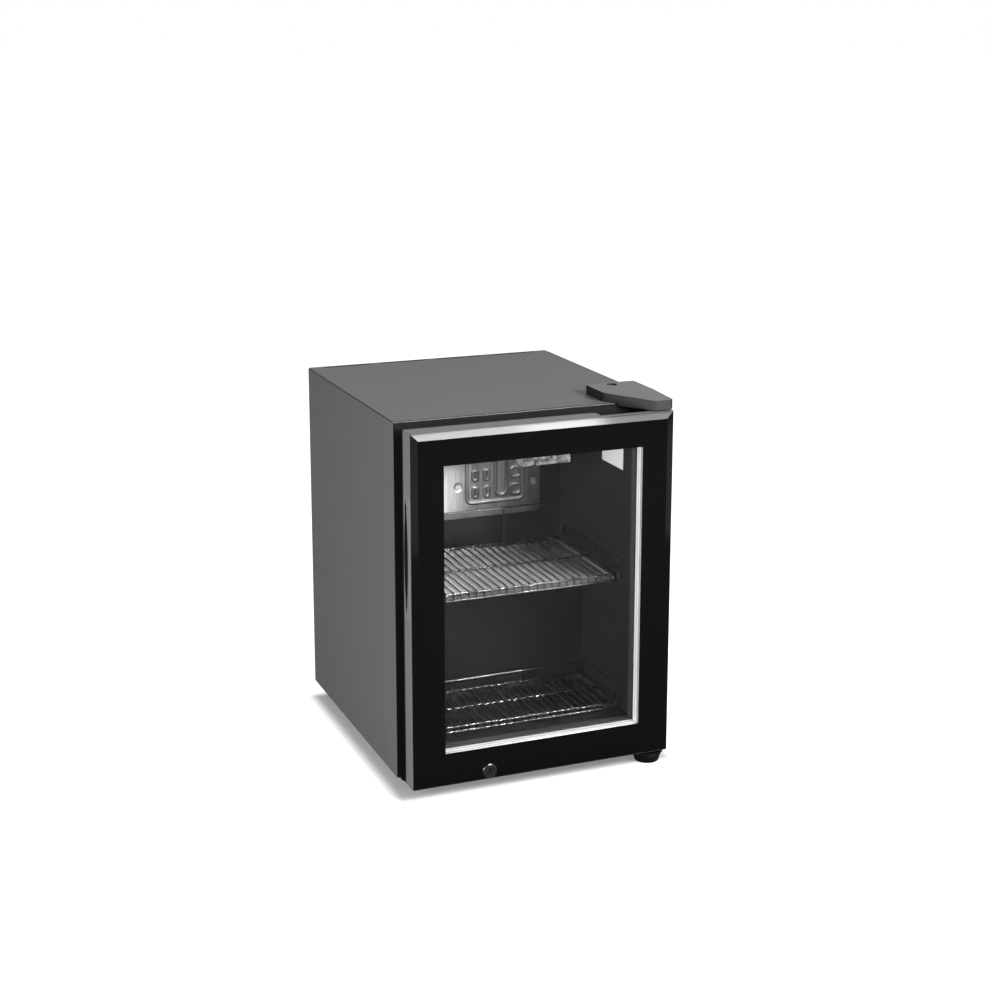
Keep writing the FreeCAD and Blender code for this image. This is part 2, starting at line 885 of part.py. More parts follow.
def shelf_deck(height, back, mid_share, drop):
    """The welded grid: wires from back to front over cross bars, turned down in front."""
    z, bar_z = shelf_levels(height)
    low_z = bar_z - drop
    y0 = face_y + shelf_front
    y1 = face_y + back
    mid_y = y0 + mid_share * (y1 - y0)
    bar_front = y0 + wire_radius + bar_radius - weld_sink
    outer = shelf_half_width - bar_radius
    count = int(outer / wire_pitch)
    lines = [(index * wire_pitch, wire_radius) for index in range(-count, count + 1)]
    lines += [(-outer, bar_radius), (outer, bar_radius)]
    shapes = [bent_rod([V(x, y1, z), V(x, y0, z), V(x, y0, low_z - wire_tip)], radius, wire_nose)
              for x, radius in lines]
    for y, level in ((bar_front, bar_z), (mid_y, bar_z), (y1 - bar_radius, bar_z),
                     (bar_front, low_z)):
        shapes.append(cross_bar(y, level))
    return shapes


def cross_bar(y, level):
    """A bar from side to side that ends inside the outer bars."""
    reach = shelf_half_width - weld_sink
    return rod(bar_radius, V(-reach, y, level), V(reach, y, level))


def tray_hanger():
    """A loop near the back of the upper shelf that carries the drip tray with the front bar."""
    z, bar_z = shelf_levels(upper_shelf_height)
    hang_z = bar_z - upper_bar_drop + bar_radius - wire_radius
    y = face_y + upper_shelf_back - tray_back_gap
    reach = shelf_half_width - tray_side_gap + hanger_gap + wire_radius
    loop = bent_rod([V(-reach, y, bar_z), V(-reach, y, hang_z), V(reach, y, hang_z),
                     V(reach, y, bar_z)], wire_radius, wire_nose)
    return [cross_bar(y, bar_z), loop]


def side_guard(side, height, back, rise):
    """The low rail on one side of a shelf that keeps goods off the wall."""
    z, bar_z = shelf_levels(height)
    y0 = face_y + shelf_front + guard_front_setback
    y1 = face_y + back - guard_inset
    x = side * (shelf_half_width - bar_radius)
    return bent_rod([V(x, y0, z), V(x, y0, z + rise), V(x, y1, z + rise), V(x, y1, z)],
                    wire_radius, wire_nose)


def back_guard(height, back, rise):
    """The loop along the back of a shelf with two posts in it."""
    z, bar_z = shelf_levels(height)
    reach = shelf_half_width - guard_inset
    y = face_y + back - bar_radius
    loop = bent_rod([V(-reach, y, bar_z), V(-reach, y, z + rise), V(reach, y, z + rise),
                     V(reach, y, bar_z)], wire_radius, wire_nose)
    posts = [rod(post_radius, V(x, y, bar_z), V(x, y, z + rise))
             for x in (-guard_middle, guard_middle)]
    return fuse_all([loop] + posts)


def shelf_rack(deck_shapes, height, back, side_rise, back_rise):
    """A wire shelf: the deck with its side rails and back loop welded on."""
    deck = fuse_all(deck_shapes)
    guards = [side_guard(-1, height, back, side_rise), side_guard(1, height, back, side_rise),
              back_guard(height, back, back_rise)]
    return Part.makeCompound([deck] + [guard.cut(deck) for guard in guards])


def upper_shelf_rack():
    """The upper wire shelf with its guards and the hanger for the tray."""
    deck = shelf_deck(upper_shelf_height, upper_shelf_back, upper_mid_share, upper_bar_drop)
    return shelf_rack(deck + tray_hanger(), upper_shelf_height, upper_shelf_back,
                      side_guard_upper, back_guard_upper)


def lower_shelf_rack():
    """The lower wire shelf, shorter because it stands in front of the machinery step."""
    deck = shelf_deck(lower_shelf_height, lower_shelf_back, lower_mid_share, lower_bar_drop)
    return shelf_rack(deck, lower_shelf_height, lower_shelf_back, side_guard_lower,
                      back_guard_lower)


def upper_shelf_tray():
    """The pale drip tray under the upper shelf, an open box with a turned-down front lip."""
    z, bar_z = shelf_levels(upper_shelf_height)
    low = bar_z - upper_bar_drop + bar_radius + tray_rest_gap
    reach = shelf_half_width - tray_side_gap
    front = face_y + shelf_front + wire_radius + 2 * bar_radius - weld_sink + tray_front_gap
    back = face_y + upper_shelf_back - tray_back_gap + bar_radius
    outer = box(-reach, reach, front, back, low, low + tray_height)
    room = box(-reach + tray_wall, reach - tray_wall, front + tray_wall, back - tray_wall,
               low + tray_wall, low + tray_height + overrun)
    lip = box(-reach, reach, front, front + tray_wall, low - tray_lip_drop, low + tray_wall)
    return fuse_all([outer.cut(room), lip])


# Machinery


chimney_y = divider_upper_y + divider_sheet
floor_z = base_z + base_sheet
compressor_y = cover_inner_y - compressor_from_cover
compressor_z = floor_z + grommet_height
compressor_top = compressor_z + compressor_height
coil_y = chimney_y + coil_from_divider
coil_z = base_z + coil_bottom


def rounded_block(x, y, z0, width, depth, height, side_radius, end_radius):
    """A block with round upright corners and round upper and lower edges."""
    block = box(x - width / 2, x + width / 2, y - depth / 2, y + depth / 2, z0, z0 + height)
    block = block.makeFillet(side_radius, edges_along(block, V(0, 0, 1)))
    ends = [edge for edge in block.Edges
            if abs(edge.CenterOfMass.z - z0) < height * edge_share
            or abs(edge.CenterOfMass.z - z0 - height) < height * edge_share]
    return block.makeFillet(end_radius, ends)


def compressor_pot():
    """The outside of the sealed pot as one solid."""
    return rounded_block(compressor_place, compressor_y, compressor_z, compressor_width,
                         compressor_depth, compressor_height, compressor_rounding,
                         compressor_end_rounding)


def compressor_shell():
    """The sealed steel pot with its welded foot plate."""
    outer = compressor_pot()
    wall = compressor_wall
    inner = rounded_block(compressor_place, compressor_y, compressor_z + wall,
                          compressor_width - 2 * wall, compressor_depth - 2 * wall,
                          compressor_height - 2 * wall, compressor_rounding - wall,
                          compressor_end_rounding - wall)
    reach = compressor_width / 2 + compressor_plate_margin
    half = compressor_depth / 2 - compressor_plate_setback
    foot = box(compressor_place - reach, compressor_place + reach, compressor_y - half,
               compressor_y + half, compressor_z, compressor_z + compressor_plate)
    holes = [ring_room(x, y, compressor_z, grommet_neck, compressor_plate, V(0, 0, 1))
             for x, y in grommet_places()]
    return cut_all(fuse_all([outer, foot]), holes + [inner])


def compressor_core():
    """The motor and pump inside the pot, standing on its floor."""
    width = compressor_width - 2 * compressor_end_rounding
    depth = compressor_depth - 2 * compressor_end_rounding
    low = compressor_z + compressor_wall
    height = compressor_height - 2 * compressor_wall - core_top_gap
    core = box(compressor_place - width / 2, compressor_place + width / 2,
               compressor_y - depth / 2, compressor_y + depth / 2, low, low + height)
    return core.makeFillet(core_rounding, edges_along(core, V(0, 0, 1)))


def grommet_places():
    """The four corners of the compressor's foot plate."""
    reach = compressor_width / 2 + compressor_plate_margin - grommet_radius
    half = compressor_depth / 2 - compressor_plate_setback - grommet_radius
    return [(compressor_place + side * reach, compressor_y + end * half)
            for side in (-1, 1) for end in (-1, 1)]


def compressor_grommets():
    """Rubber feet, each with a neck that fills its hole in the foot plate."""
    shapes = []
    for x, y in grommet_places():
        body = Part.makeCylinder(grommet_radius, grommet_height, V(x, y, floor_z))
        neck = Part.makeCylinder(grommet_neck, compressor_plate + grommet_neck_reach,
                                 V(x, y, compressor_z))
        shapes.append(body.fuse(neck).removeSplitter())
    return Part.makeCompound(shapes)


def terminal_box():
    """The starter box on the left flank of the compressor."""
    side = compressor_place - compressor_width / 2
    return box(side - terminal_width, side, compressor_y - terminal_depth / 2,
               compressor_y + terminal_depth / 2, compressor_z + terminal_lift,
               compressor_z + terminal_lift + terminal_height)


def coil_points():
    """The pipe's route: up from the compressor, to and fro behind the cabinet, down to the drier."""
    start_x = compressor_place - discharge_offset
    points = [V(start_x, coil_y, compressor_top - compressor_wall / 2), V(start_x, coil_y, coil_z)]
    side = 1
    for run in range(coil_runs):
        z = coil_z + run * coil_pitch
        points.append(V(side * coil_half_width, coil_y, z))
        side = -side
        if run < coil_runs - 1:
            points.append(V(-side * coil_half_width, coil_y, z + coil_pitch))
    last = points[-1]
    drop_x = -coil_half_width - coil_drop_offset
    points[-1] = V(drop_x, coil_y, last.z)
    points.append(V(drop_x, coil_y, drier_top + drier_neck))
    return points


drier_top = floor_z + pan_height + drier_above_pan + drier_length


def condenser_coil():
    """The condenser pipe as one bent tube."""
    return bent_rod(coil_points(), pipe_radius, pipe_bend).cut(compressor_pot())


def condenser_clips():
    """Upright strips that stand off the divider and hold every run of the pipe."""
    pipe = bent_rod(coil_points(), pipe_radius + clip_fit, pipe_bend)
    shapes = []
    top = coil_z + (coil_runs - 1) * coil_pitch + pipe_radius + clip_margin
    for side in (-1, 1):
        x = side * clip_share * coil_half_width
        strip = box(x - clip_width / 2, x + clip_width / 2, chimney_y,
                    coil_y + pipe_radius + clip_margin, coil_z - pipe_radius - clip_margin, top)
        shapes.append(strip.cut(pipe))
    return Part.makeCompound(shapes)


def filter_drier():
    """The copper drier that hangs on the end of the condenser pipe."""
    x = -coil_half_width - coil_drop_offset
    low = drier_top - drier_length
    body = Part.makeCylinder(drier_radius, drier_length, V(x, coil_y, low))
    upper = Part.makeCylinder(pipe_radius, drier_neck, V(x, coil_y, drier_top))
    lower = Part.makeCylinder(pipe_radius, drier_neck, V(x, coil_y, low - drier_neck))
    return fuse_all([body, upper, lower])


def suction_points():
    """From the cooling plate through the back wall and down to the compressor."""
    y = chimney_y + suction_from_divider
    return [V(suction_place, plate_y, suction_z), V(suction_place, y, suction_z),
            V(suction_place, y, compressor_top - compressor_wall / 2)]


def suction_line():
    """The return pipe of the cooling circuit."""
    return bent_rod(suction_points(), suction_radius, pipe_bend).cut(compressor_pot())


def suction_room():
    """The way that the return pipe takes through liner, foam and divider."""
    return ring_room(suction_place, upper_back_y, suction_z, suction_radius,
                     liner_wall + back_foam + divider_sheet, V(0, 1, 0))


def drain_room():
    """The way that the drain takes through liner, foam and divider."""
    return ring_room(drain_place, upper_back_y, step_z + drain_above_step, drain_radius,
                     liner_wall + back_foam + divider_sheet, V(0, 1, 0))


def drain_tube():
    """The tube that leads melt water from the step of the inner box to the pan."""
    place = V(drain_place, upper_back_y, step_z + drain_above_step)
    length = liner_wall + back_foam + divider_sheet + drain_overhang
    outer = Part.makeCylinder(drain_radius, length, place, V(0, 1, 0))
    bore = ring_room(place.x, place.y, place.z, drain_bore, length, V(0, 1, 0))
    return outer.cut(bore)


def evaporation_pan():
    """The open pan on the floor sheet that catches the melt water."""
    y = cover_inner_y - pan_from_cover
    outer = box(pan_left, pan_right, y - pan_depth / 2, y + pan_depth / 2, floor_z,
                floor_z + pan_height)
    room = box(pan_left + pan_wall, pan_right - pan_wall, y - pan_depth / 2 + pan_wall,
               y + pan_depth / 2 - pan_wall, floor_z + pan_wall, floor_z + pan_height + overrun)
    return outer.cut(room)


# Rear controls and supply inlet


knob_cup_floor_y = back_y - knob_cup_depth
rocker_y = back_y - rocker_inset
switch_back_y = back_y - switch_depth


def control_housing():
    """One moulding behind the rear cover: a round cup for the knob and a box for the switch."""
    cup = Part.makeCylinder(knob_cup_radius, knob_cup_depth + knob_cup_wall,
                            V(knob_place, knob_cup_floor_y - knob_cup_wall, knob_z), V(0, 1, 0))
    cup_room = ring_room(knob_place, knob_cup_floor_y + overrun, knob_z,
                         knob_cup_radius - knob_cup_wall, knob_cup_depth, V(0, 1, 0))
    half_w = rocker_width / 2 + rocker_fit
    half_h = rocker_height / 2 + rocker_fit
    case = box(rocker_place - half_w - switch_wall, rocker_place + half_w + switch_wall,
               switch_back_y, back_y, knob_z - half_h - switch_wall, knob_z + half_h + switch_wall)
    case_room = box(rocker_place - half_w, rocker_place + half_w, switch_back_y + switch_wall,
                    back_y + overrun, knob_z - half_h, knob_z + half_h)
    web = box(rocker_place, knob_place, cover_inner_y - switch_wall, cover_inner_y,
              knob_z - half_h, knob_z + half_h)
    shaft_room = ring_room(knob_place, knob_cup_floor_y - knob_cup_wall, knob_z,
                           knob_shaft_radius + knob_gap, knob_cup_wall, V(0, 1, 0))
    axle_length = rocker_width + 2 * rocker_fit + 2 * axle_reach
    axle_room = Part.makeCylinder(rocker_axle_radius + rocker_axle_fit, axle_length,
                                  V(rocker_place - axle_length / 2, rocker_y, knob_z), V(1, 0, 0))
    return cut_all(fuse_all([cup, case, web]), [cup_room, case_room, shaft_room, axle_room])


def thermostat_body():
    """The temperature switch behind the knob, with a bore for the knob's shaft."""
    y1 = knob_cup_floor_y - knob_cup_wall
    block = box(knob_place - thermostat_width / 2, knob_place + thermostat_width / 2,
                y1 - thermostat_depth, y1, knob_z - thermostat_height / 2,
                knob_z + thermostat_height / 2)
    bore = Part.makeCylinder(knob_shaft_radius + knob_shaft_fit,
                             knob_shaft_reach + knob_gap + overrun,
                             V(knob_place, y1 - knob_shaft_reach - knob_gap, knob_z), V(0, 1, 0))
    return block.cut(bore)


def thermostat_knob():
    """The ribbed knob with a pointer notch and a shaft into the temperature switch."""
    low = knob_cup_floor_y + knob_gap
    disc = Part.makeCylinder(knob_radius, knob_height, V(knob_place, low, knob_z), V(0, 1, 0))
    shapes = [disc]
    for index in range(knob_rib_count):
        turn = 2 * math.pi * index / knob_rib_count
        shapes.append(Part.makeCylinder(knob_rib_radius, knob_height,
                                        V(knob_place + knob_radius * math.cos(turn), low,
                                          knob_z + knob_radius * math.sin(turn)), V(0, 1, 0)))
    shaft_low = knob_cup_floor_y - knob_cup_wall - knob_shaft_reach
    shapes.append(Part.makeCylinder(knob_shaft_radius, low - shaft_low,
                                    V(knob_place, shaft_low, knob_z), V(0, 1, 0)))
    notch = box(knob_place - knob_notch / 2, knob_place + knob_notch / 2,
                low + knob_height - knob_notch, low + knob_height + overrun,
                knob_z + knob_radius / 2, knob_z + knob_radius + 2 * knob_rib_radius)
    return cut_all(fuse_all(shapes), [notch])


def light_switch_rocker():
    """The lamp's rocker, resting at one end of its tilt."""
    block = box(rocker_place - rocker_width / 2, rocker_place + rocker_width / 2,
                rocker_y - rocker_depth / 2, rocker_y + rocker_depth / 2,
                knob_z - rocker_height / 2, knob_z + rocker_height / 2)
    axle_length = rocker_width + 2 * rocker_fit + 2 * axle_reach - 2 * axle_end_gap
    axle = Part.makeCylinder(rocker_axle_radius, axle_length,
                             V(rocker_place - axle_length / 2, rocker_y, knob_z), V(1, 0, 0))
    rocker = fuse_all([block, axle])
    rocker.rotate(V(rocker_place, rocker_y, knob_z), V(1, 0, 0), rocker_tilt)
    return rocker


def supply_inlet():
    """The socket for the detachable supply lead, open to the back."""
    half_w = inlet_cavity_width / 2
    half_h = inlet_cavity_height / 2
    front = back_y - inlet_cavity_depth - inlet_wall
    shell = box(inlet_place - half_w - inlet_wall, inlet_place + half_w + inlet_wall,
                front, back_y, inlet_z - half_h - inlet_wall, inlet_z + half_h + inlet_wall)
    flange = box(inlet_place - inlet_flange_width / 2, inlet_place + inlet_flange_width / 2,
                 cover_inner_y - inlet_flange_depth, cover_inner_y,
                 inlet_z - inlet_flange_height / 2, inlet_z + inlet_flange_height / 2)
    room = box(inlet_place - half_w, inlet_place + half_w, front + inlet_wall, back_y + overrun,
               inlet_z - half_h, inlet_z + half_h)
    return cut_all(fuse_all([shell, flange]), [room] + [pin_block(pin) for pin in range(3)])


def pin_block(pin):
    """One flat contact of the inlet, through the back wall of the socket."""
    x = inlet_place + (pin - 1) * inlet_pin_pitch
    y0 = back_y - inlet_cavity_depth - inlet_wall
    return box(x - inlet_pin_width / 2, x + inlet_pin_width / 2, y0,
               y0 + inlet_wall + inlet_pin_length, inlet_z - inlet_pin_height / 2,
               inlet_z + inlet_pin_height / 2)


def inlet_pins():
    """The three contacts of the supply inlet."""
    return Part.makeCompound([pin_block(pin) for pin in range(3)])


def countersunk(place, direction, length):
    """A screw with a flush conical head as deep as a sheet."""
    unit = V(direction).normalize()
    head = Part.makeCone(screw_head_radius, screw_radius, panel_sheet, place, unit)
    shank = Part.makeCylinder(screw_radius, length, place + unit * panel_sheet, unit)
    return head.fuse(shank)


def cover_screw_places():
    """Three screws down each side of the rear cover, into the side panels' rear flanges."""
    x = half_width - panel_flange / 2
    low = base_z + cover_screw_end
    high = top_z - cover_screw_end
    return [V(side * x, back_y, z) for side in (-1, 1) for z in (low, (low + high) / 2, high)]


def cover_screw_tools():
    return [countersunk(place, V(0, -1, 0), screw_length) for place in cover_screw_places()]


def rear_cover_screws():
    """The screws that hold the rear cover."""
    return Part.makeCompound(cover_screw_tools())


# Door


def door_outline(inset, y):
    """The door's rectangle, drawn in by an inset, at one depth."""
    points = [V(door_left + inset, y, door_bottom + inset),
              V(door_right - inset, y, door_bottom + inset),
              V(door_right - inset, y, door_top - inset),
              V(door_left + inset, y, door_top - inset)]
    return Part.makePolygon(points + points[:1])


def door_ring(inset, width, y0, y1):
    """A ring that follows the door's outline."""
    return ring(door_left + inset, door_right - inset, door_bottom + inset, door_top - inset,
                width, y0, y1)


def door_box(inset, y0, y1):
    """A block with the door's outline drawn in by an inset."""
    return box(door_left + inset, door_right - inset, y0, y1, door_bottom + inset,
               door_top - inset)


def frame_cavity(fit):
    """The hollow that runs round inside the door frame, smaller by a fit on every side."""
    width = pack_edge - frame_wall - frame_edge_wall - 2 * fit
    return door_ring(frame_edge_wall + fit, width, door_front_y + frame_wall + fit,
                     door_back_y - frame_wall - fit)


def frame_body():
    """The whole hollow frame before it is mitred into its four members."""
    slab = door_box(0, door_side_y, door_back_y)
    bevel = Part.makeLoft([door_outline(bevel_width, door_front_y),
                           door_outline(0, door_side_y)], True, True)
    window = door_box(rail_face, door_front_y - overrun, door_back_y + overrun)
    rebate = door_box(pack_edge, glass_y, door_back_y + overrun)
    body = fuse_all([slab, bevel])
    tools = [window, rebate, frame_cavity(0), grip_room(), hinge_pocket(), bush_room_top(),
             bush_room_bottom(), lock_room()]
    for tool in tools:
        body = body.cut(tool)
    return body


def mitre_wedge(corners):
    """The slice of the frame that belongs to one member, between two mitred corners."""
    points = [V(x, door_front_y - overrun, z) for x, z in corners]
    return prism(points, V(0, door_depth + 2 * overrun, 0))


def frame_corners(inset):
    """The four corners of the door's outline drawn in by an inset, counter-clockwise."""
    return [(door_left + inset, door_bottom + inset), (door_right - inset, door_bottom + inset),
            (door_right - inset, door_top - inset), (door_left + inset, door_top - inset)]


def door_members():
    """The four mitred members, named by their place."""
    body = frame_body()
    outer = frame_corners(0)
    inner = frame_corners(rail_face)
    names = ("door_rail_bottom", "door_stile_right", "door_rail_top", "door_stile_left")
    members = {}
    for index, name in enumerate(names):
        after = (index + 1) % len(names)
        wedge = mitre_wedge([outer[index], outer[after], inner[after], inner[index]])
        members[name] = body.common(wedge)
    return members


def corner_keys():
    """Angle pieces in the hollow of the frame that join the members at each corner."""
    ring_shape = frame_cavity(key_fit)
    keys = []
    reach = frame_edge_wall + key_arm
    for x0, x1 in ((door_left, door_left + reach), (door_right - reach, door_right)):
        for z0, z1 in ((door_bottom, door_bottom + reach), (door_top - reach, door_top)):
            room = box(x0, x1, door_side_y, door_side_y + key_thickness + key_depth_inset,
                       z0, z1)
            keys.append(ring_shape.common(room))
    keys = [key.cut(bush_room_top()).cut(bush_room_bottom()) for key in keys]
    return Part.makeCompound(keys)


def outer_pane():
    """The front sheet of glass."""
    return door_box(glass_edge, glass_y, glass_y + pane_thickness)


def inner_pane():
    """The rear sheet of glass."""
    y0 = glass_y + pane_thickness + spacer_depth
    return door_box(glass_edge, y0, y0 + pane_thickness)


def pane_spacer():
    """The hollow bar that holds the panes apart, level with the edge of the window."""
    y0 = glass_y + pane_thickness
    y1 = y0 + spacer_depth
    outer = door_ring(rail_face - spacer_width, spacer_width, y0, y1)
    hollow = door_ring(rail_face - spacer_width + spacer_wall, spacer_width - 2 * spacer_wall,
                       y0 + spacer_wall, y1 - spacer_wall)
    return outer.cut(hollow)


def glazing_bead():
    """The ring that clips into the frame behind the glass."""
    return door_ring(glass_edge, rail_face - glass_edge, glass_back_y, door_back_y)


def door_gasket():
    """The soft seal on the back of the frame, with a bellows between its base and its magnet."""
    x0 = door_left + gasket_side_inset
    x1 = door_right - gasket_side_inset
    z0 = door_bottom + gasket_bottom_inset
    z1 = door_top - gasket_top_inset
    front = door_back_y
    back = face_y - gasket_face_gap
    base_end = front + gasket_bellows_depth
    bellows_end = base_end + gasket_bellows_depth
    base = ring(x0, x1, z0, z1, gasket_width, front, base_end)
    inset = gasket_bellows_inset
    bellows = ring(x0 + inset, x1 - inset, z0 + inset, z1 - inset, gasket_width - 2 * inset,
                   base_end, bellows_end)
    magnet = ring(x0, x1, z0, z1, gasket_width, bellows_end, back)
    return fuse_all([base, bellows, magnet])


# Grip in the door's left edge


grip_y0 = door_side_y + grip_front_strip
grip_y1 = grip_y0 + grip_width
grip_z0 = base_z + grip_bottom
grip_z1 = grip_z0 + grip_height
finger_y = grip_y1 - grip_lens_width / 2


def grip_room():
    """The recess in the left stile that takes the grip."""
    return box(door_left - overrun, door_left + grip_depth, grip_y0, grip_y1, grip_z0, grip_z1)


def grip_lens():
    """The spindle-shaped hollow that the fingers enter, wide in the middle and pointed at its ends."""
    half = grip_lens_width / 2
    low = V(door_left - overrun, finger_y, grip_z0 + grip_fit)
    high = V(door_left - overrun, finger_y, grip_z1 - grip_fit)
    middle_z = (grip_z0 + grip_z1) / 2
    front = Part.Arc(low, V(low.x, finger_y - half, middle_z), high).toShape()
    back = Part.Arc(high, V(low.x, finger_y + half - grip_fit, middle_z), low).toShape()
    return Part.Face(Part.Wire([front, back])).extrude(V(overrun + grip_lens_depth, 0, 0))


def grip_slots():
    """Two deeper slots in the bottom of the finger hollow."""
    middle_z = (grip_z0 + grip_z1) / 2
    slots = []
    for side in (-1, 1):
        near = middle_z + side * grip_bridge / 2
        far = near + side * grip_slot_length
        z0, z1 = sorted((near, far))
        slots.append(box(door_left - overrun, door_left + grip_slot_depth,
                         finger_y - grip_slot_width / 2, finger_y + grip_slot_width / 2, z0, z1))
    return slots


def door_grip():
    """The moulded finger grip let into the left stile."""
    block = box(door_left, door_left + grip_depth - grip_fit, grip_y0 + grip_fit,
                grip_y1 - grip_fit, grip_z0 + grip_fit, grip_z1 - grip_fit)
    groove_y = grip_y0 + grip_strip_width
    groove = box(door_left - overrun, door_left + grip_groove, groove_y,
                 groove_y + grip_groove, grip_z0, grip_z1)
    return cut_all(block, [grip_lens(), groove] + grip_slots())


# Hinges


def hinge_pocket():
    """The shallow pocket in the top of the door that the upper hinge works in."""
    return box(door_right - pocket_end_strip - pocket_length, door_right - pocket_end_strip,
               door_side_y + pocket_front_strip, door_back_y + overrun,
               door_top - pocket_depth, door_top + overrun)


top_bush_z = door_top - pocket_depth
top_bush_radius = pin_radius + pin_fit + bush_wall
lower_bush_radius = lower_pin_radius + pin_fit + bush_wall


def bush_room_top():
    """The hole for the upper bush, down from the pocket."""
    return Part.makeCylinder(top_bush_radius, bush_length, V(pivot_x, pivot_y, top_bush_z),
                             V(0, 0, -1))


def bush_room_bottom():
    """The hole for the lower bush, up from the door's bottom face."""
    return Part.makeCylinder(lower_bush_radius, bush_length + overrun,
                             V(pivot_x, pivot_y, door_bottom - overrun))


def hinge_bushes():
    """Flanged sleeves in the top and the bottom of the door that turn on the hinge pins."""
    centre = V(pivot_x, pivot_y, 0)
    top = Part.makeCylinder(top_bush_radius, bush_length, centre + V(0, 0, top_bush_z), V(0, 0, -1))
    top_flange = Part.makeCylinder(top_bush_radius + bush_flange_reach, bush_flange,
                                   centre + V(0, 0, top_bush_z))
    bottom = Part.makeCylinder(lower_bush_radius, bush_length, centre + V(0, 0, door_bottom))
    bottom_flange = Part.makeCylinder(lower_bush_radius + bush_flange_reach, bush_flange,
                                      centre + V(0, 0, door_bottom), V(0, 0, -1))
    top_bore = ring_room(pivot_x, pivot_y, top_bush_z - bush_length, pin_radius + pin_fit,
                         bush_length + bush_flange, V(0, 0, 1))
    bottom_bore = ring_room(pivot_x, pivot_y, door_bottom - bush_flange,
                            lower_pin_radius + pin_fit, bush_length + bush_flange, V(0, 0, 1))
    return Part.makeCompound([fuse_all([top, top_flange]).cut(top_bore),
                              fuse_all([bottom, bottom_flange]).cut(bottom_bore)])


hinge_right = door_right - hinge_plate_side_clear
hinge_left = hinge_right - hinge_plate_width


def hinge_screw_places():
    """Two screws near the back of the upper hinge plate and one further forward."""
    back = face_y + hinge_plate_back - hinge_screw_margin
    right = hinge_right - hinge_screw_margin
    return [V(right, back, top_z), V(right - screw_pitch_on_hinge, back, top_z),
            V(right, back - screw_pitch_on_hinge, top_z)]


def cover_screw_place():
    """The screw in the recess of the hinge cover, at the level of the cabinet top."""
    return V(half_width - cover_screw_from_right, face_y + cover_screw_back, top_z)


def hinge_screw_tools():
    """The rooms of the upper hinge's screws and the cover's screw in the cabinet."""
    depth = screw_length - hinge_plate
    tools = [screw_hole(place, V(0, 0, -1), depth) for place in hinge_screw_places()]
    tools.append(screw_hole(cover_screw_place(), V(0, 0, -1), depth))
    return tools


def top_hinge_plate():
    """The upper hinge: a plate on the cabinet top with the pin that the door hangs on."""
    front = pivot_y - hinge_plate_front_reach
    back = face_y + hinge_plate_back
    outline = [V(hinge_left, face_y, top_z), V(pivot_x - hinge_plate_front_reach, front, top_z),
               V(hinge_right, front, top_z), V(hinge_right, back, top_z),
               V(hinge_left, back, top_z)]
    plate = prism(outline, V(0, 0, hinge_plate))
    pin = Part.makeCylinder(pin_radius, top_pin_reach + hinge_plate / 2,
                            V(pivot_x, pivot_y, top_z + hinge_plate / 2), V(0, 0, -1))
    head = Part.makeCylinder(top_pin_head_radius, top_pin_head_height,
                             V(pivot_x, pivot_y, top_z + hinge_plate))
    holes = [screw_hole(place + V(0, 0, hinge_plate), V(0, 0, -1), hinge_plate)
             for place in hinge_screw_places()]
    return cut_all(fuse_all([plate, pin, head]), holes)


def top_hinge_screws():
    """The screws of the upper hinge and the one in the cover's recess."""
    shapes = [screw(place + V(0, 0, hinge_plate), V(0, 0, -1), screw_length)
              for place in hinge_screw_places()]
    shapes.append(screw(cover_screw_place() + V(0, 0, hinge_plate), V(0, 0, -1), screw_length))
    return Part.makeCompound(shapes)


def cover_outline(inset, z):
    """The plan of the hinge cover: straight at the back, slanting to the front corner."""
    left = cover_left
    back = face_y + cover_back
    front = door_side_y + cover_front_setback
    right = door_right
    slant = math.atan2(cover_front_left - left, back - cover_straight - front)
    shift = inset * math.tan(slant / 2)
    lean = inset * math.tan((math.pi / 2 - slant) / 2) if inset else 0
    return [V(left + inset, back - inset, z),
            V(left + inset, back - cover_straight + shift, z),
            V(cover_front_left + lean + inset * math.tan(slant), front + inset, z),
            V(right - inset, front + inset, z), V(right - inset, back - inset, z)]


def cover_slope(z):
    """What the gentle fall of the cover's top towards the front takes off, from level z."""
    back = face_y + cover_back - cover_straight
    front = door_side_y + cover_front_setback
    return prism([V(cover_left - overrun, back, z),
                  V(cover_left - overrun, front - overrun, z - cover_slope_drop),
                  V(cover_left - overrun, front - overrun, z + overrun),
                  V(cover_left - overrun, back, z + overrun)],
                 V(half_width - cover_left + overrun, 0, 0))


def hinge_cover():
    """The cap over the upper hinge, open below, its skirt lower where it hangs over the door."""
    low = top_z - cover_skirt
    outer = prism(cover_outline(0, low), V(0, 0, cover_height + cover_skirt))
    outer = outer.makeFillet(cover_corner_radius, edges_along(outer, V(0, 0, 1)))
    outer = outer.cut(cover_slope(top_z + cover_height))
    inner = prism(cover_outline(cover_wall, low - overrun),
                  V(0, 0, cover_height + cover_skirt - cover_wall + overrun))
    inner = inner.cut(cover_slope(top_z + cover_height - cover_wall))
    place = cover_screw_place()
    boss = Part.makeCylinder(cover_screw_radius + cover_wall, cover_height - cover_wall, place)
    shell = fuse_all([outer.cut(inner), boss.common(outer)])
    recess = Part.makeCylinder(cover_screw_radius, cover_height + overrun,
                               place + V(0, 0, hinge_plate))
    seated = box(cover_left - overrun, half_width, face_y - cover_notch,
                 face_y + cover_back + overrun, low - overrun, top_z)
    return cut_all(shell, [recess, seated, screw_hole(place + V(0, 0, hinge_plate), V(0, 0, -1),
                                                      hinge_plate)])


bracket_low_z = base_z - bracket_plate
bracket_y1 = face_y + bracket_back


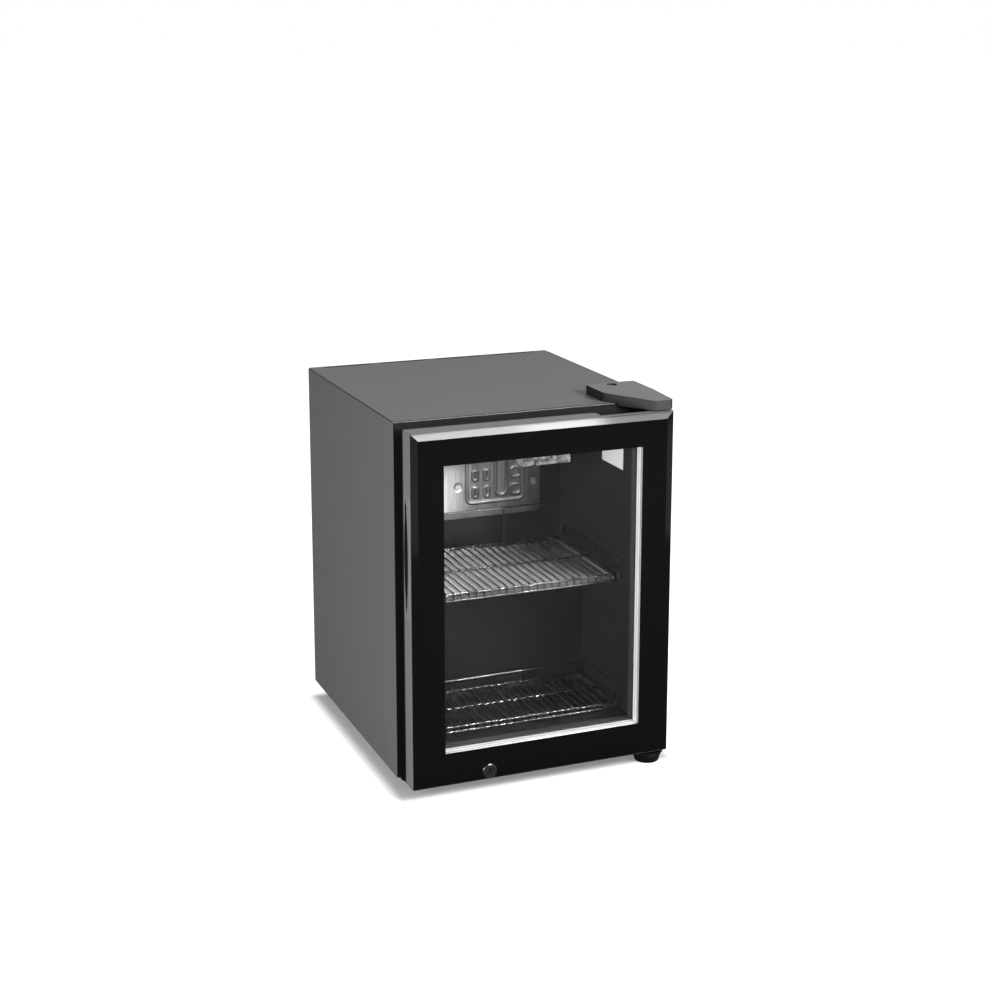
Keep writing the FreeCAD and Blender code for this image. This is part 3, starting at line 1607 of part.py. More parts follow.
def bracket_screw_places():
    """Two screws each in the lower hinge bracket and in the strike, from below."""
    y = bracket_y1 - hinge_screw_margin
    half = screw_pitch_on_hinge / 2
    strike_y = face_y + strike_back - hinge_screw_margin
    return [V(pivot_x - half, y, bracket_low_z), V(pivot_x + half, y, bracket_low_z),
            V(lock_x - half, strike_y, base_z - strike_plate),
            V(lock_x + half, strike_y, base_z - strike_plate)]


def bracket_screw_tools():
    return [screw_hole(place, V(0, 0, 1), screw_length) for place in bracket_screw_places()]


def underside_screws():
    """The screws under the lower hinge bracket and the strike."""
    return Part.makeCompound([screw(place, V(0, 0, 1), screw_length)
                              for place in bracket_screw_places()])


def lower_hinge_bracket():
    """The bracket under the cabinet with the door's lower pin and the right foot's thread."""
    half = bracket_width / 2
    plate = box(pivot_x - half, min(pivot_x + half, half_width),
                pivot_y - bracket_front_reach, bracket_y1, bracket_low_z, base_z)
    pin = Part.makeCylinder(lower_pin_radius, lower_pin_reach + bracket_plate,
                            V(pivot_x, pivot_y, bracket_low_z))
    bore = Part.makeCylinder(foot_stud_radius + foot_stud_fit,
                             base_z + foot_stud_fit - bracket_low_z + overrun,
                             V(pivot_x, pivot_y, bracket_low_z - overrun))
    return cut_all(fuse_all([plate, pin]), [bore] + bracket_screw_tools())


# Lock


housing_back_y = door_back_y + lock_nut_depth
cam_y = housing_back_y + cam_gap


def lock_room():
    """The hole through the bottom rail that takes the lock."""
    return ring_room(lock_x, door_front_y, lock_z, lock_body_radius, door_depth, V(0, 1, 0))


def lock_barrel():
    """The fixed body of the lock with its round head, and the nut behind the rail."""
    head = Part.makeCylinder(lock_head_radius, lock_head_proud,
                             V(lock_x, door_front_y - lock_head_proud, lock_z), V(0, 1, 0))
    head = head.makeFillet(lock_head_round, [head.Edges[0], head.Edges[2]][:1])
    body = Part.makeCylinder(lock_body_radius, door_depth + lock_nut_depth,
                             V(lock_x, door_front_y, lock_z), V(0, 1, 0))
    bore = ring_room(lock_x, door_front_y - lock_head_proud, lock_z, plug_radius + plug_fit,
                     lock_head_proud + door_depth + lock_nut_depth, V(0, 1, 0))
    nut = Part.makeCylinder(lock_nut_radius, lock_nut_depth, V(lock_x, door_back_y, lock_z),
                            V(0, 1, 0)).cut(body)
    return Part.makeCompound([fuse_all([head, body]).cut(bore), nut])


def lock_plug():
    """The turning core with its key slot; a round tail carries the cam between two faces."""
    front = door_front_y - lock_head_proud + plug_recess
    core = Part.makeCylinder(plug_radius, housing_back_y - front, V(lock_x, front, lock_z),
                             V(0, 1, 0))
    tail = Part.makeCylinder(tail_radius, cam_gap + cam_thickness,
                             V(lock_x, housing_back_y, lock_z), V(0, 1, 0))
    cap = Part.makeCylinder(cam_screw_radius, cam_screw_height,
                            V(lock_x, cam_y + cam_thickness, lock_z), V(0, 1, 0))
    slot = box(lock_x - key_slot_width / 2, lock_x + key_slot_width / 2, front - overrun,
               front + key_slot_depth, lock_z - key_slot_height / 2, lock_z + key_slot_height / 2)
    return fuse_all([core, tail, cap]).cut(slot)


def lock_cam():
    """The flat arm on the back of the lock, level when open, that turns down into the strike."""
    hub = Part.makeCylinder(cam_width / 2, cam_thickness, V(lock_x, cam_y, lock_z), V(0, 1, 0))
    arm = box(lock_x - cam_length, lock_x, cam_y, cam_y + cam_thickness, lock_z - cam_width / 2,
              lock_z + cam_width / 2)
    arm = arm.makeFillet(cam_corner, [edge for edge in edges_along(arm, V(0, 1, 0))
                                      if edge.CenterOfMass.x < lock_x])
    hole = ring_room(lock_x, cam_y, lock_z, tail_radius, cam_thickness, V(0, 1, 0))
    return fuse_all([hub, arm]).cut(hole)


def lock_strike():
    """The slotted plate under the front edge of the cabinet that the cam turns down into."""
    tip = math.hypot(cam_length, cam_width / 2)
    sweep = math.sqrt(tip * tip - lock_height * lock_height)
    left = lock_x - sweep - strike_clear
    right = lock_x + cam_width / 2 + strike_clear
    front = cam_y - strike_clear
    back = cam_y + cam_thickness + strike_clear
    plate = box(left - strike_arm, right + strike_arm, front - strike_arm, face_y + strike_back,
                base_z - strike_plate, base_z)
    slot = box(left, right, front, back, base_z - strike_plate - overrun, base_z + overrun)
    return cut_all(plate, [slot] + bracket_screw_tools())


# Feet


def foot_pad(x, y, stud):
    """A round levelling foot: tapered pad, groove, wide top and a stud."""
    groove_z = foot_pad_height - foot_rim - foot_groove_height
    lower = Part.makeCone(foot_bottom_radius, foot_top_radius - foot_groove, groove_z, V(x, y, 0))
    neck = Part.makeCylinder(foot_top_radius - 2 * foot_groove, foot_groove_height,
                             V(x, y, groove_z))
    rim = Part.makeCylinder(foot_top_radius, foot_rim, V(x, y, foot_pad_height - foot_rim))
    screw_stud = Part.makeCylinder(foot_stud_radius, stud, V(x, y, foot_pad_height))
    return fuse_all([lower, neck, rim, screw_stud])


def rear_feet():
    """Two plain feet under the back corners."""
    shapes = []
    for side in (-1, 1):
        place = V(side * (half_width - rear_foot_from_side), back_y - rear_foot_from_back, 0)
        shapes.append(Part.makeCone(rear_foot_radius, rear_foot_radius + foot_groove, foot_height,
                                    place))
    return Part.makeCompound(shapes)


def parts():
    """Every node's name with the shape that belongs to it."""
    left, right = front_foot_places()
    nodes = {
        "side_panel_left": cut_all(side_panel(-1), cover_screw_tools()),
        "side_panel_right": cut_all(side_panel(1), cover_screw_tools()),
        "top_panel": top_panel(),
        "top_rail": top_rail(),
        "base_pan": base_pan(),
        "rear_cover": rear_cover(),
        "divider_sheet": divider_sheet_part(),
        "inner_liner": inner_liner(),
        "foam_body": foam_body(),
        "front_trim": front_trim(),
        "evaporator_plate": evaporator_plate(),
        "evaporator_screws": evaporator_screws(),
        "lamp_base": lamp_base(),
        "lamp_board": lamp_board(),
        "lamp_lens": lamp_lens(),
        "wall_label": wall_label(),
        "compressor_shell": compressor_shell(),
        "compressor_core": compressor_core(),
        "compressor_grommets": compressor_grommets(),
        "terminal_box": terminal_box(),
        "condenser_coil": condenser_coil(),
        "condenser_clips": condenser_clips(),
        "filter_drier": filter_drier(),
        "suction_line": suction_line(),
        "drain_tube": drain_tube(),
        "evaporation_pan": evaporation_pan(),
        "thermostat_body": thermostat_body(),
        "control_housing": control_housing(),
        "supply_inlet": supply_inlet(),
        "inlet_pins": inlet_pins(),
        "rear_cover_screws": rear_cover_screws(),
        "top_hinge_plate": top_hinge_plate(),
        "top_hinge_screws": top_hinge_screws(),
        "hinge_cover": hinge_cover(),
        "lower_hinge_bracket": lower_hinge_bracket(),
        "underside_screws": underside_screws(),
        "lock_strike": lock_strike(),
        "rear_feet": rear_feet(),
        "door_corner_keys": corner_keys(),
        "outer_pane": outer_pane(),
        "inner_pane": inner_pane(),
        "pane_spacer": pane_spacer(),
        "glazing_bead": glazing_bead(),
        "door_gasket": door_gasket(),
        "door_grip": door_grip(),
        "hinge_bushes": hinge_bushes(),
        "lock_barrel": lock_barrel(),
        "lock_plug": lock_plug(),
        "lock_cam": lock_cam(),
        "thermostat_knob": thermostat_knob(),
        "light_switch_rocker": light_switch_rocker(),
        "front_foot_left": foot_pad(left.x, left.y, foot_height - foot_pad_height
                                    + boss_height - overrun),
        "front_foot_right": foot_pad(right.x, right.y, base_z - foot_pad_height),
        "upper_shelf_rack": upper_shelf_rack(),
        "upper_shelf_tray": upper_shelf_tray(),
        "lower_shelf_rack": lower_shelf_rack(),
    }
    nodes.update(door_members())
    return nodes


os.makedirs("parts", exist_ok=True)
for name, shape in parts().items():
    print(name, len(shape.Solids), "solids", round(shape.Volume), "mm3, valid:", shape.isValid())
    shape.exportStep("parts/" + name + ".step")
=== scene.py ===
import math

import bpy
import numpy as np
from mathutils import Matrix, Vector


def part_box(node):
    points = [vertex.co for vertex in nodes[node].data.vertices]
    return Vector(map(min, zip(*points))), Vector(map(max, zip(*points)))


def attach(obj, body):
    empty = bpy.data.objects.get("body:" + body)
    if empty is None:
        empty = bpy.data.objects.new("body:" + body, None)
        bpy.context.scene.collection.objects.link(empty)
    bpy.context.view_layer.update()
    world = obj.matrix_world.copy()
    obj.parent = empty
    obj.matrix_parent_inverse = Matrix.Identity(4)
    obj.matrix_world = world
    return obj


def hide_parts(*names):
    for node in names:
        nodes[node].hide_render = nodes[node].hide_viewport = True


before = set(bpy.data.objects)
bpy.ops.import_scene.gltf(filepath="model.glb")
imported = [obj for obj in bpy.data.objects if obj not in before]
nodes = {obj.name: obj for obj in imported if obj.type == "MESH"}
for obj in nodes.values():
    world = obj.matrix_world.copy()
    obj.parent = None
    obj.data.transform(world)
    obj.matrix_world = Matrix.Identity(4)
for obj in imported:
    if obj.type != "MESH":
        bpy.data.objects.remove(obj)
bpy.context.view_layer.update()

# Glass door mini fridge: finishes, modelled surfaces, studio light and camera.
# Lengths are in metres; a number times mm is that many millimetres.

mm = 0.001
scene = bpy.context.scene


# Small helpers


def linear(code):
    """An sRGB hex colour as linear red, green, blue and a full alpha."""
    values = [int(code[i:i + 2], 16) / 255 for i in (1, 3, 5)]
    straight = [v / 12.92 if v <= 0.04045 else ((v + 0.055) / 1.055) ** 2.4 for v in values]
    return tuple(straight) + (1,)


def tones(code, low, high):
    """A darker and a lighter tone of an sRGB hex colour, by two factors on its linear values."""
    return [tuple(value * factor for value in linear(code)[:3]) + (1,) for factor in (low, high)]


def span(name):
    """A node's lowest and highest corners as arrays."""
    low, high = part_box(name)
    return np.array(low), np.array(high)


def fill(tree, node, sockets):
    """Fills a node's sockets with values, outputs, or the first outputs of other nodes."""
    for key, value in sockets.items():
        if isinstance(value, bpy.types.Node):
            value = value.outputs[0]
        if isinstance(value, bpy.types.NodeSocket):
            tree.links.new(value, node.inputs[key])
        else:
            node.inputs[key].default_value = value


def add(tree, kind, sockets=(), **settings):
    """Adds a shader node, sets its properties and fills its sockets."""
    node = tree.nodes.new("ShaderNode" + kind)
    for key, value in settings.items():
        setattr(node, key, value)
    fill(tree, node, dict(sockets))
    return node


def shader(name, **sockets):
    """A new material with one Principled shader; returns the material, its tree and shader."""
    material = bpy.data.materials.new(name)
    material.use_nodes = True
    tree = material.node_tree
    tree.nodes.clear()
    bsdf = add(tree, "BsdfPrincipled", {k.replace("_", " "): v for k, v in sockets.items()})
    add(tree, "OutputMaterial", {"Surface": bsdf})
    return material, tree, bsdf


def dress(names, material):
    """Puts a material on the slots of CAD nodes or pieces."""
    for name in names:
        obj = nodes[name] if isinstance(name, str) else name
        obj.data.materials.clear()
        obj.data.materials.append(material)


def crisp(obj, angle=40.0):
    """Keeps edges sharper than the angle sharp in shading."""
    split = obj.modifiers.new("split", "EDGE_SPLIT")
    split.split_angle = math.radians(angle)
    split.use_edge_sharp = False


def soften(names, width, angle=35.0):
    """Merges a CAD node's loose triangles and shades it smoothly between its sharp edges.

    With a width, those edges are rounded and the flat faces keep their flat shading.
    """
    for name in names:
        obj = nodes[name]
        for polygon in obj.data.polygons:
            polygon.use_smooth = True
        weld = obj.modifiers.new("weld", "WELD")
        weld.merge_threshold = 0.002 * mm
        if width:
            bevel = obj.modifiers.new("bevel", "BEVEL")
            bevel.width = width
            bevel.segments = 2
            bevel.limit_method = "ANGLE"
            bevel.angle_limit = math.radians(angle)
            bevel.use_clamp_overlap = True
            flat = obj.modifiers.new("flat", "WEIGHTED_NORMAL")
            flat.weight = 100
        else:
            crisp(obj, angle)


# Surfaces


def grid_faces(rows, columns, close_rows, close_columns):
    """The quads of a grid of points; a closed direction joins its last line to its first."""
    r = np.arange(rows if close_rows else rows - 1)
    c = np.arange(columns if close_columns else columns - 1)
    i, j = np.meshgrid(r, c, indexing="ij")
    i2 = (i + 1) % rows
    j2 = (j + 1) % columns
    quads = np.stack([i * columns + j, i2 * columns + j, i2 * columns + j2, i * columns + j2], -1)
    return quads.reshape(-1, 4)


def grid_object(name, grid, body, close_rows=False, close_columns=False, uv=None):
    """A piece from a grid of points, rows by columns by three, with an optional UV per point."""
    rows, columns = grid.shape[:2]
    faces = grid_faces(rows, columns, close_rows, close_columns)
    mesh = bpy.data.meshes.new(name)
    mesh.from_pydata(grid.reshape(-1, 3).tolist(), [], faces.tolist())
    mesh.polygons.foreach_set("use_smooth", [True] * len(mesh.polygons))
    mesh.update()
    obj = bpy.data.objects.new(name, mesh)
    scene.collection.objects.link(obj)
    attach(obj, body)
    if uv is not None:
        layer = obj.data.uv_layers.new(name="UVMap")
        loops = np.empty(len(obj.data.loops), dtype=np.int64)
        obj.data.loops.foreach_get("vertex_index", loops)
        layer.data.foreach_set("uv", uv.reshape(-1, 2)[loops].ravel())
    return obj


def lathe(name, profile, centre, axis, body):
    """A profile of (radius, height) points turned about an axis through the centre.

    Each point goes to centre + radius (cos t, sin t) across the axis + height along it.
    """
    profile = np.array(profile)
    steps = 96
    turn = np.linspace(0, 2 * math.pi, steps, endpoint=False)
    across = {"z": (0, 1, 2), "y": (2, 0, 1)}[axis]
    grid = np.zeros((len(profile), steps, 3))
    grid[:, :, across[0]] = profile[:, :1] * np.cos(turn)
    grid[:, :, across[1]] = profile[:, :1] * np.sin(turn)
    grid[:, :, across[2]] = profile[:, 1:2]
    obj = grid_object(name, grid + np.array(centre), body, close_columns=True)
    crisp(obj)
    return obj


def ring_sweep(name, profile, low, high, y_from, body):
    """A closed profile of (inward, depth) points carried round an upright rectangle, mitred.

    A point goes to the rectangle's edge moved inward by its first value, at y_from plus its
    second. UV runs along the edge in metres and across the profile in metres.
    """
    corners = np.array([(low[0], low[2]), (high[0], low[2]), (high[0], high[2]),
                        (low[0], high[2])])
    inward = np.array([(1, 1), (-1, 1), (-1, -1), (1, -1)])
    step = np.array([[0.0], [0.5]])
    rows, along = [], []
    travelled = 0.0
    for k in range(4):
        a, b = corners[k], corners[(k + 1) % 4]
        ia, ib = inward[k], inward[(k + 1) % 4]
        rows.append(np.concatenate([a + (b - a) * step, ia + (ib - ia) * step], axis=1))
        length = np.linalg.norm(b - a)
        along.append(travelled + length * step[:, 0])
        travelled += length
    rows = np.concatenate(rows)
    along = np.concatenate(along)
    grid = np.zeros((len(rows), len(profile), 3))
    grid[:, :, 0] = rows[:, 0:1] + rows[:, 2:3] * profile[None, :, 0]
    grid[:, :, 2] = rows[:, 1:2] + rows[:, 3:4] * profile[None, :, 0]
    grid[:, :, 1] = y_from + profile[None, :, 1]
    reach = np.concatenate([[0], np.cumsum(np.linalg.norm(np.diff(profile, axis=0), axis=1))])
    uv = np.stack(np.broadcast_arrays(along[:, None], reach[None, :]), -1)
    return grid_object(name, grid, body, close_rows=True, close_columns=True, uv=uv)


def rounded_profile(points, radius, steps=4):
    """A closed profile with each corner replaced by a short arc of the given radius."""
    points = np.array(points)
    result = []
    for before, corner, after in zip(np.roll(points, 1, 0), points, np.roll(points, -1, 0)):
        a = (before - corner) / np.linalg.norm(before - corner)
        b = (after - corner) / np.linalg.norm(after - corner)
        cut = min(radius, np.linalg.norm(before - corner) * 0.45,
                  np.linalg.norm(after - corner) * 0.45)
        t = np.linspace(0, 1, steps + 1)[:, None]
        p, q = corner + a * cut, corner + b * cut
        result.append((1 - t) ** 2 * p + 2 * t * (1 - t) * corner + t ** 2 * q)
    return np.concatenate(result)


# Finishes


def textured_paint(name, code, painted_shade_edge=None, painted_shade_below=None):
    """Powder-coated sheet steel: a fine orange-peel grain that breaks up its satin shine.

    The grain is drawn at 0.9 mm, coarser than a real coat's, so that it shows. With an edge
    depth, the sheet's front flange is painted black up to that depth: painted shade, standing in
    for the shade in the gap behind the door. With a height below, its cut edges and inside are
    painted black up to that height as painted shade, apart from its outer back face.
    """
    material, tree, bsdf = shader(name)
    where = add(tree, "TexCoord").outputs["Object"]
    parts = add(tree, "SeparateXYZ", {"Vector": where}).outputs
    grain = add(tree, "TexNoise", {"Vector": where, "Scale": 1 / (0.9 * mm), "Detail": 3.0})
    cloud = add(tree, "TexNoise", {"Vector": where, "Scale": 1 / (60 * mm)})
    dark, light = tones(code, 0.93, 1.05)
    paint = add(tree, "Mix", {0: cloud, 6: dark, 7: light}, data_type="RGBA").outputs[2]
    # Painted shade: where this mask is one, the coat turns black in place of shade
    black = 0.0
    if painted_shade_edge is not None:
        black = add(tree, "MapRange", {"Value": parts[1], "From Min": painted_shade_edge,
                                       "From Max": painted_shade_edge + 0.2 * mm, "To Min": 1.0,
                                       "To Max": 0.0})
    if painted_shade_below is not None:
        under = add(tree, "Math", {0: parts[2], 1: painted_shade_below}, operation="LESS_THAN")
        inner = add(tree, "Math", {0: parts[1], 1: outer_back}, operation="LESS_THAN")
        black = add(tree, "Math", {0: under, 1: inner}, operation="MULTIPLY")
    fill(tree, bsdf, {
        "Base Color": add(tree, "Mix", {0: black, 6: paint, 7: linear("#080808")},
                          data_type="RGBA").outputs[2],
        "Specular IOR Level": add(tree, "MapRange", {"Value": black, "To Min": 0.3,
                                                     "To Max": 0.03}),
        "Roughness": add(tree, "MapRange", {"Value": grain, "To Min": 0.44, "To Max": 0.58}),
        "Normal": add(tree, "Bump", {"Height": grain, "Distance": 0.05 * mm, "Strength": 1.0}),
    })
    return material


def gloss_lacquer(name, code, low, high, side_reflection_code):
    """Glossy black lacquer on the front of an extrusion whose outer sides are painted a satin
    grey.

    The grey on the sides is a painted reflection, standing in for the lacquer's reflection of the
    bright surroundings. A point is on a side where it lies within the skin's depth of the frame's
    outline, behind the rim at the frame's front and before the black lip at its back.
    """
    skin, rim, lip = 0.25 * mm, 2.3 * mm, 5 * mm
    material, tree, bsdf = shader(name, IOR=1.5)
    where = add(tree, "TexCoord").outputs["Object"]
    parts = add(tree, "SeparateXYZ", {"Vector": where}).outputs
    wave = add(tree, "TexNoise", {"Vector": where, "Scale": 1 / (45 * mm), "Detail": 1.0})
    dust = add(tree, "TexNoise", {"Vector": where, "Scale": 1 / (1.2 * mm)})
    tests = []
    for axis in (0, 2):
        middle, half = (low[axis] + high[axis]) / 2, (high[axis] - low[axis]) / 2
        off = add(tree, "Math", {0: parts[axis], 1: middle}, operation="SUBTRACT")
        off = add(tree, "Math", {0: off}, operation="ABSOLUTE")
        tests.append(add(tree, "Math", {0: off, 1: half - skin}, operation="GREATER_THAN"))
    side = add(tree, "Math", {0: tests[0], 1: tests[1]}, operation="MAXIMUM")
    for edge, way in ((low[1] + rim, "GREATER_THAN"), (high[1] - lip, "LESS_THAN")):
        within = add(tree, "Math", {0: parts[1], 1: edge}, operation=way)
        side = add(tree, "Math", {0: side, 1: within}, operation="MULTIPLY")
    front = add(tree, "Mix", {0: dust, 6: linear(code), 7: linear("#060606")},
                data_type="RGBA").outputs[2]
    smooth = add(tree, "MapRange", {"Value": dust, "To Min": 0.05, "To Max": 0.1})
    # The sides' grey is a painted reflection of the bright surroundings
    fill(tree, bsdf, {
        "Base Color": add(tree, "Mix", {0: side, 6: front, 7: linear(side_reflection_code)},
                          data_type="RGBA").outputs[2],
        "Specular IOR Level": add(tree, "MapRange", {"Value": side, "To Min": 0.025,
                                                     "To Max": 0.3}),
        "Roughness": add(tree, "Math", {0: side, 1: 0.38, 2: smooth}, operation="MULTIPLY_ADD"),
        "Normal": add(tree, "Bump", {"Height": wave, "Distance": 0.02 * mm, "Strength": 1.0}),
    })
    return material


def satin_moulding(name, code, rough=0.45, spec=0.35, grain=1.1 * mm, depth=0.04 * mm,
                   painted_light=None):
    """Injection-moulded ABS: spark-eroded grain, even colour, soft highlights.

    With a tint, a coordinate's name, its axis, the values between which the tint comes in and
    its colour, part of the surface is tinted with painted light: a painted sheen on a top,
    painted shade on a lip, a painted reflection on a rim.
    """
    material, tree, bsdf = shader(name, Specular_IOR_Level=spec)
    coordinates = add(tree, "TexCoord").outputs
    where = coordinates["Object"]
    texture = add(tree, "TexNoise", {"Vector": where, "Scale": 1 / grain})
    cloud = add(tree, "TexNoise", {"Vector": where, "Scale": 1 / (40 * mm)})
    dark, light = tones(code, 0.9, 1.08)
    colour = add(tree, "Mix", {0: cloud, 6: dark, 7: light}, data_type="RGBA").outputs[2]
    if painted_light is not None:
        kind, axis, start, end, shade = painted_light
        share = add(tree, "SeparateXYZ", {"Vector": coordinates[kind]}).outputs[axis]
        share = add(tree, "MapRange", {"Value": share, "From Min": start, "From Max": end})
        colour = add(tree, "Mix", {0: share, 6: colour, 7: linear(shade)},
                     data_type="RGBA").outputs[2]
    fill(tree, bsdf, {
        "Base Color": colour,
        "Roughness": add(tree, "MapRange", {"Value": texture, "To Min": rough - 0.05,
                                            "To Max": rough + 0.07}),
        "Normal": add(tree, "Bump", {"Height": texture, "Distance": depth, "Strength": 1.0}),
    })
    return material


def metal_finish(name, code, rough):
    """Bare or plated metal: tinted reflection, with a roughness varied by handling."""
    material, tree, bsdf = shader(name, Base_Color=linear(code), Metallic=1.0)
    where = add(tree, "TexCoord").outputs["Object"]
    texture = add(tree, "TexNoise", {"Vector": where, "Scale": 1 / (1.5 * mm), "Detail": 4.0})
    fill(tree, bsdf, {
        "Roughness": add(tree, "MapRange", {"Value": texture, "To Min": rough - 0.06,
                                            "To Max": rough + 0.06}),
        "Normal": add(tree, "Bump", {"Height": texture, "Distance": 0.01 * mm,
                                     "Strength": 1.0}),
    })
    return material


def rolled_sheet(name, code, foot_shade_top):
    """Roll-bonded aluminium: upright rolling streaks and smears in a soft metal shine.

    Painted shade darkens the plate towards the right and on its turned-up foot.
    """
    shade_from, shade_to, shade_share, foot_shade_share = -32 * mm, 10 * mm, 0.74, 0.88
    material, tree, bsdf = shader(name, Metallic=0.85)
    where = add(tree, "TexCoord").outputs["Object"]
    parts = add(tree, "SeparateXYZ", {"Vector": where}).outputs
    drawn = add(tree, "Mapping", {"Vector": where, "Scale": (1, 1, 0.06)})
    streak = add(tree, "TexNoise", {"Vector": drawn, "Scale": 1 / (2.2 * mm), "Detail": 4.0,
                                    "Roughness": 0.6})
    smear = add(tree, "TexNoise", {"Vector": drawn, "Scale": 1 / (22 * mm), "Detail": 3.0})
    both = add(tree, "Math", {0: streak, 1: smear}, operation="MULTIPLY")
    both = add(tree, "MapRange", {"Value": both, "From Min": 0.12, "From Max": 0.42})
    dark, light = tones(code, 0.6, 1.2)
    plain = add(tree, "Mix", {0: both, 6: dark, 7: light}, data_type="RGBA").outputs[2]
    # Painted shade: darker towards the right and on the foot
    film = add(tree, "MapRange", {"Value": parts[0], "From Min": shade_from,
                                  "From Max": shade_to, "To Min": 0.0, "To Max": shade_share})
    foot = add(tree, "MapRange", {"Value": parts[2], "From Min": foot_shade_top,
                                  "From Max": foot_shade_top + 1.5 * mm, "To Min": foot_shade_share,
                                  "To Max": 0.0})
    film = add(tree, "Math", {0: film, 1: foot}, operation="MAXIMUM")
    fill(tree, bsdf, {
        "Base Color": add(tree, "Mix", {0: film, 6: plain, 7: linear("#1c1c1c")},
                          data_type="RGBA").outputs[2],
        "Roughness": add(tree, "MapRange", {"Value": streak, "To Min": 0.34, "To Max": 0.48}),
        "Normal": add(tree, "Bump", {"Height": streak, "Distance": 0.06 * mm,
                                     "Strength": 1.0}),
    })
    return material


def zinc_sheet(name, code, shade_before, shade_above):
    """Hot-dip zinc: faint crystal patches a few millimetres across over a dull grey metal.

    Behind the vents, in front of one depth and above one height, the sheet is painted black:
    painted shade in place of the shade inside the vents.
    """
    material, tree, bsdf = shader(name, Metallic=0.8)
    where = add(tree, "TexCoord").outputs["Object"]
    parts = add(tree, "SeparateXYZ", {"Vector": where}).outputs
    cells = add(tree, "TexVoronoi", {"Vector": where, "Scale": 1 / (7 * mm)})
    tone = add(tree, "SeparateColor", {"Color": cells.outputs["Color"]})
    dark, light = tones(code, 0.82, 1.12)
    bare = add(tree, "Mix", {0: tone, 6: dark, 7: light}, data_type="RGBA").outputs[2]
    # Painted shade: black inside the back, behind the vents
    before = add(tree, "Math", {0: parts[1], 1: shade_before}, operation="LESS_THAN")
    above = add(tree, "Math", {0: parts[2], 1: shade_above}, operation="GREATER_THAN")
    black = add(tree, "Math", {0: before, 1: above}, operation="MULTIPLY")
    fill(tree, bsdf, {
        "Base Color": add(tree, "Mix", {0: black, 6: bare, 7: linear("#050505")},
                          data_type="RGBA").outputs[2],
        "Roughness": add(tree, "MapRange", {"Value": tone, "To Min": 0.38, "To Max": 0.55}),
    })
    return material


def clear_glass(name):
    """Clear float glass: almost no colour, a sharp but weak reflection, smeared by wiping."""
    material, tree, bsdf = shader(name, Base_Color=linear("#0c0c0c"), IOR=1.5, Alpha=0.09,
                                  Specular_IOR_Level=0.5)
    where = add(tree, "TexCoord").outputs["Object"]
    smear = add(tree, "TexNoise", {"Vector": where, "Scale": 1 / (30 * mm), "Detail": 3.0})
    fill(tree, bsdf, {"Roughness": add(tree, "MapRange", {"Value": smear, "To Min": 0.01,
                                                          "To Max": 0.05})})
    return material


def perforated_strip(name):
    """Mill-finish aluminium bar with rows of punched pin holes, 3.2 mm apart.

    PINGPONG folds each coordinate back and forth, so that its zero falls on each hole's centre.
    The holes are not cut: each is painted dark, painted shade in place of the shade inside it.
    """
    half_pitch, row_apart, hole_edge, hole_rim = 1.6 * mm, 3 * mm, 0.8 * mm, 1.2 * mm
    material, tree, bsdf = shader(name, Metallic=0.3)
    where = add(tree, "TexCoord").outputs["Object"]
    uv = add(tree, "UVMap")
    parts = add(tree, "SeparateXYZ", {"Vector": uv}).outputs
    along = add(tree, "Math", {0: parts[0], 1: half_pitch}, operation="PINGPONG")
    across = add(tree, "Math", {0: parts[1], 1: row_apart}, operation="PINGPONG")
    far = add(tree, "CombineXYZ", {"X": along, "Y": across})
    far = add(tree, "VectorMath", {0: far}, operation="LENGTH").outputs["Value"]
    hole = add(tree, "MapRange", {"Value": far, "From Min": hole_edge, "From Max": hole_rim,
                                  "To Min": 1.0, "To Max": 0.0})
    wear = add(tree, "TexNoise", {"Vector": where, "Scale": 1 / (2 * mm)})
    # Painted shade: the holes are dark
    fill(tree, bsdf, {
        "Base Color": add(tree, "Mix", {0: hole, 6: linear("#ececec"), 7: linear("#161616")},
                          data_type="RGBA").outputs[2],
        "Roughness": add(tree, "MapRange", {"Value": wear, "To Min": 0.3, "To Max": 0.42}),
        "Normal": add(tree, "Bump", {"Height": hole, "Distance": -0.2 * mm, "Strength": 1.0}),
    })
    return material


def ribbed_cover(name, pitch):
    """Clear ribbed acrylic over a printed board: painted highlights on the ribs' rims, with a
    mottled grey between.
    """
    material, tree, bsdf = shader(name, Specular_IOR_Level=0.6)
    where = add(tree, "TexCoord").outputs["Object"]
    lumps = add(tree, "TexNoise", {"Vector": where, "Scale": 1 / pitch, "Detail": 3.0,
                                   "Roughness": 0.7})
    wide = add(tree, "TexNoise", {"Vector": where, "Scale": 1 / (5 * pitch), "Detail": 1.0})
    share = add(tree, "Math", {0: lumps, 1: wide}, operation="MULTIPLY")
    share = add(tree, "MapRange", {"Value": share, "From Min": 0.14, "From Max": 0.36})
    # Painted highlight: the bright share of the mix
    fill(tree, bsdf, {
        "Base Color": add(tree, "Mix", {0: share, 6: linear("#2c2c2c"), 7: linear("#d4d4d4")},
                          data_type="RGBA").outputs[2],
        "Roughness": add(tree, "MapRange", {"Value": lumps, "To Min": 0.12, "To Max": 0.3}),
        "Normal": add(tree, "Bump", {"Height": lumps, "Distance": 0.25 * mm,
                                     "Strength": 1.0}),
    })
    return material


# Where painted light starts or ends: the painted shade on the flange on the cabinet's face,
# on the cut edges just under the upper faces of top and rail, on the inside just before the
# back's outer face and on the part of the back behind the vents; the painted shade on the foot
# of the cooling plate; and the painted reflection on the rim of the door's grip
flange_shade_edge = span("side_panel_left")[0][1] + 0.7 * mm
top_cut = span("top_panel")[1][2] - 0.15 * mm
rail_cut = span("top_rail")[1][2] - 0.15 * mm
outer_back = span("rear_cover")[1][1] - 0.4 * mm
vent_foot = 470 * mm
plate_foot_shade = span("evaporator_plate")[0][2] + 8.5 * mm
grip_rim = span("door_grip")[0][0]
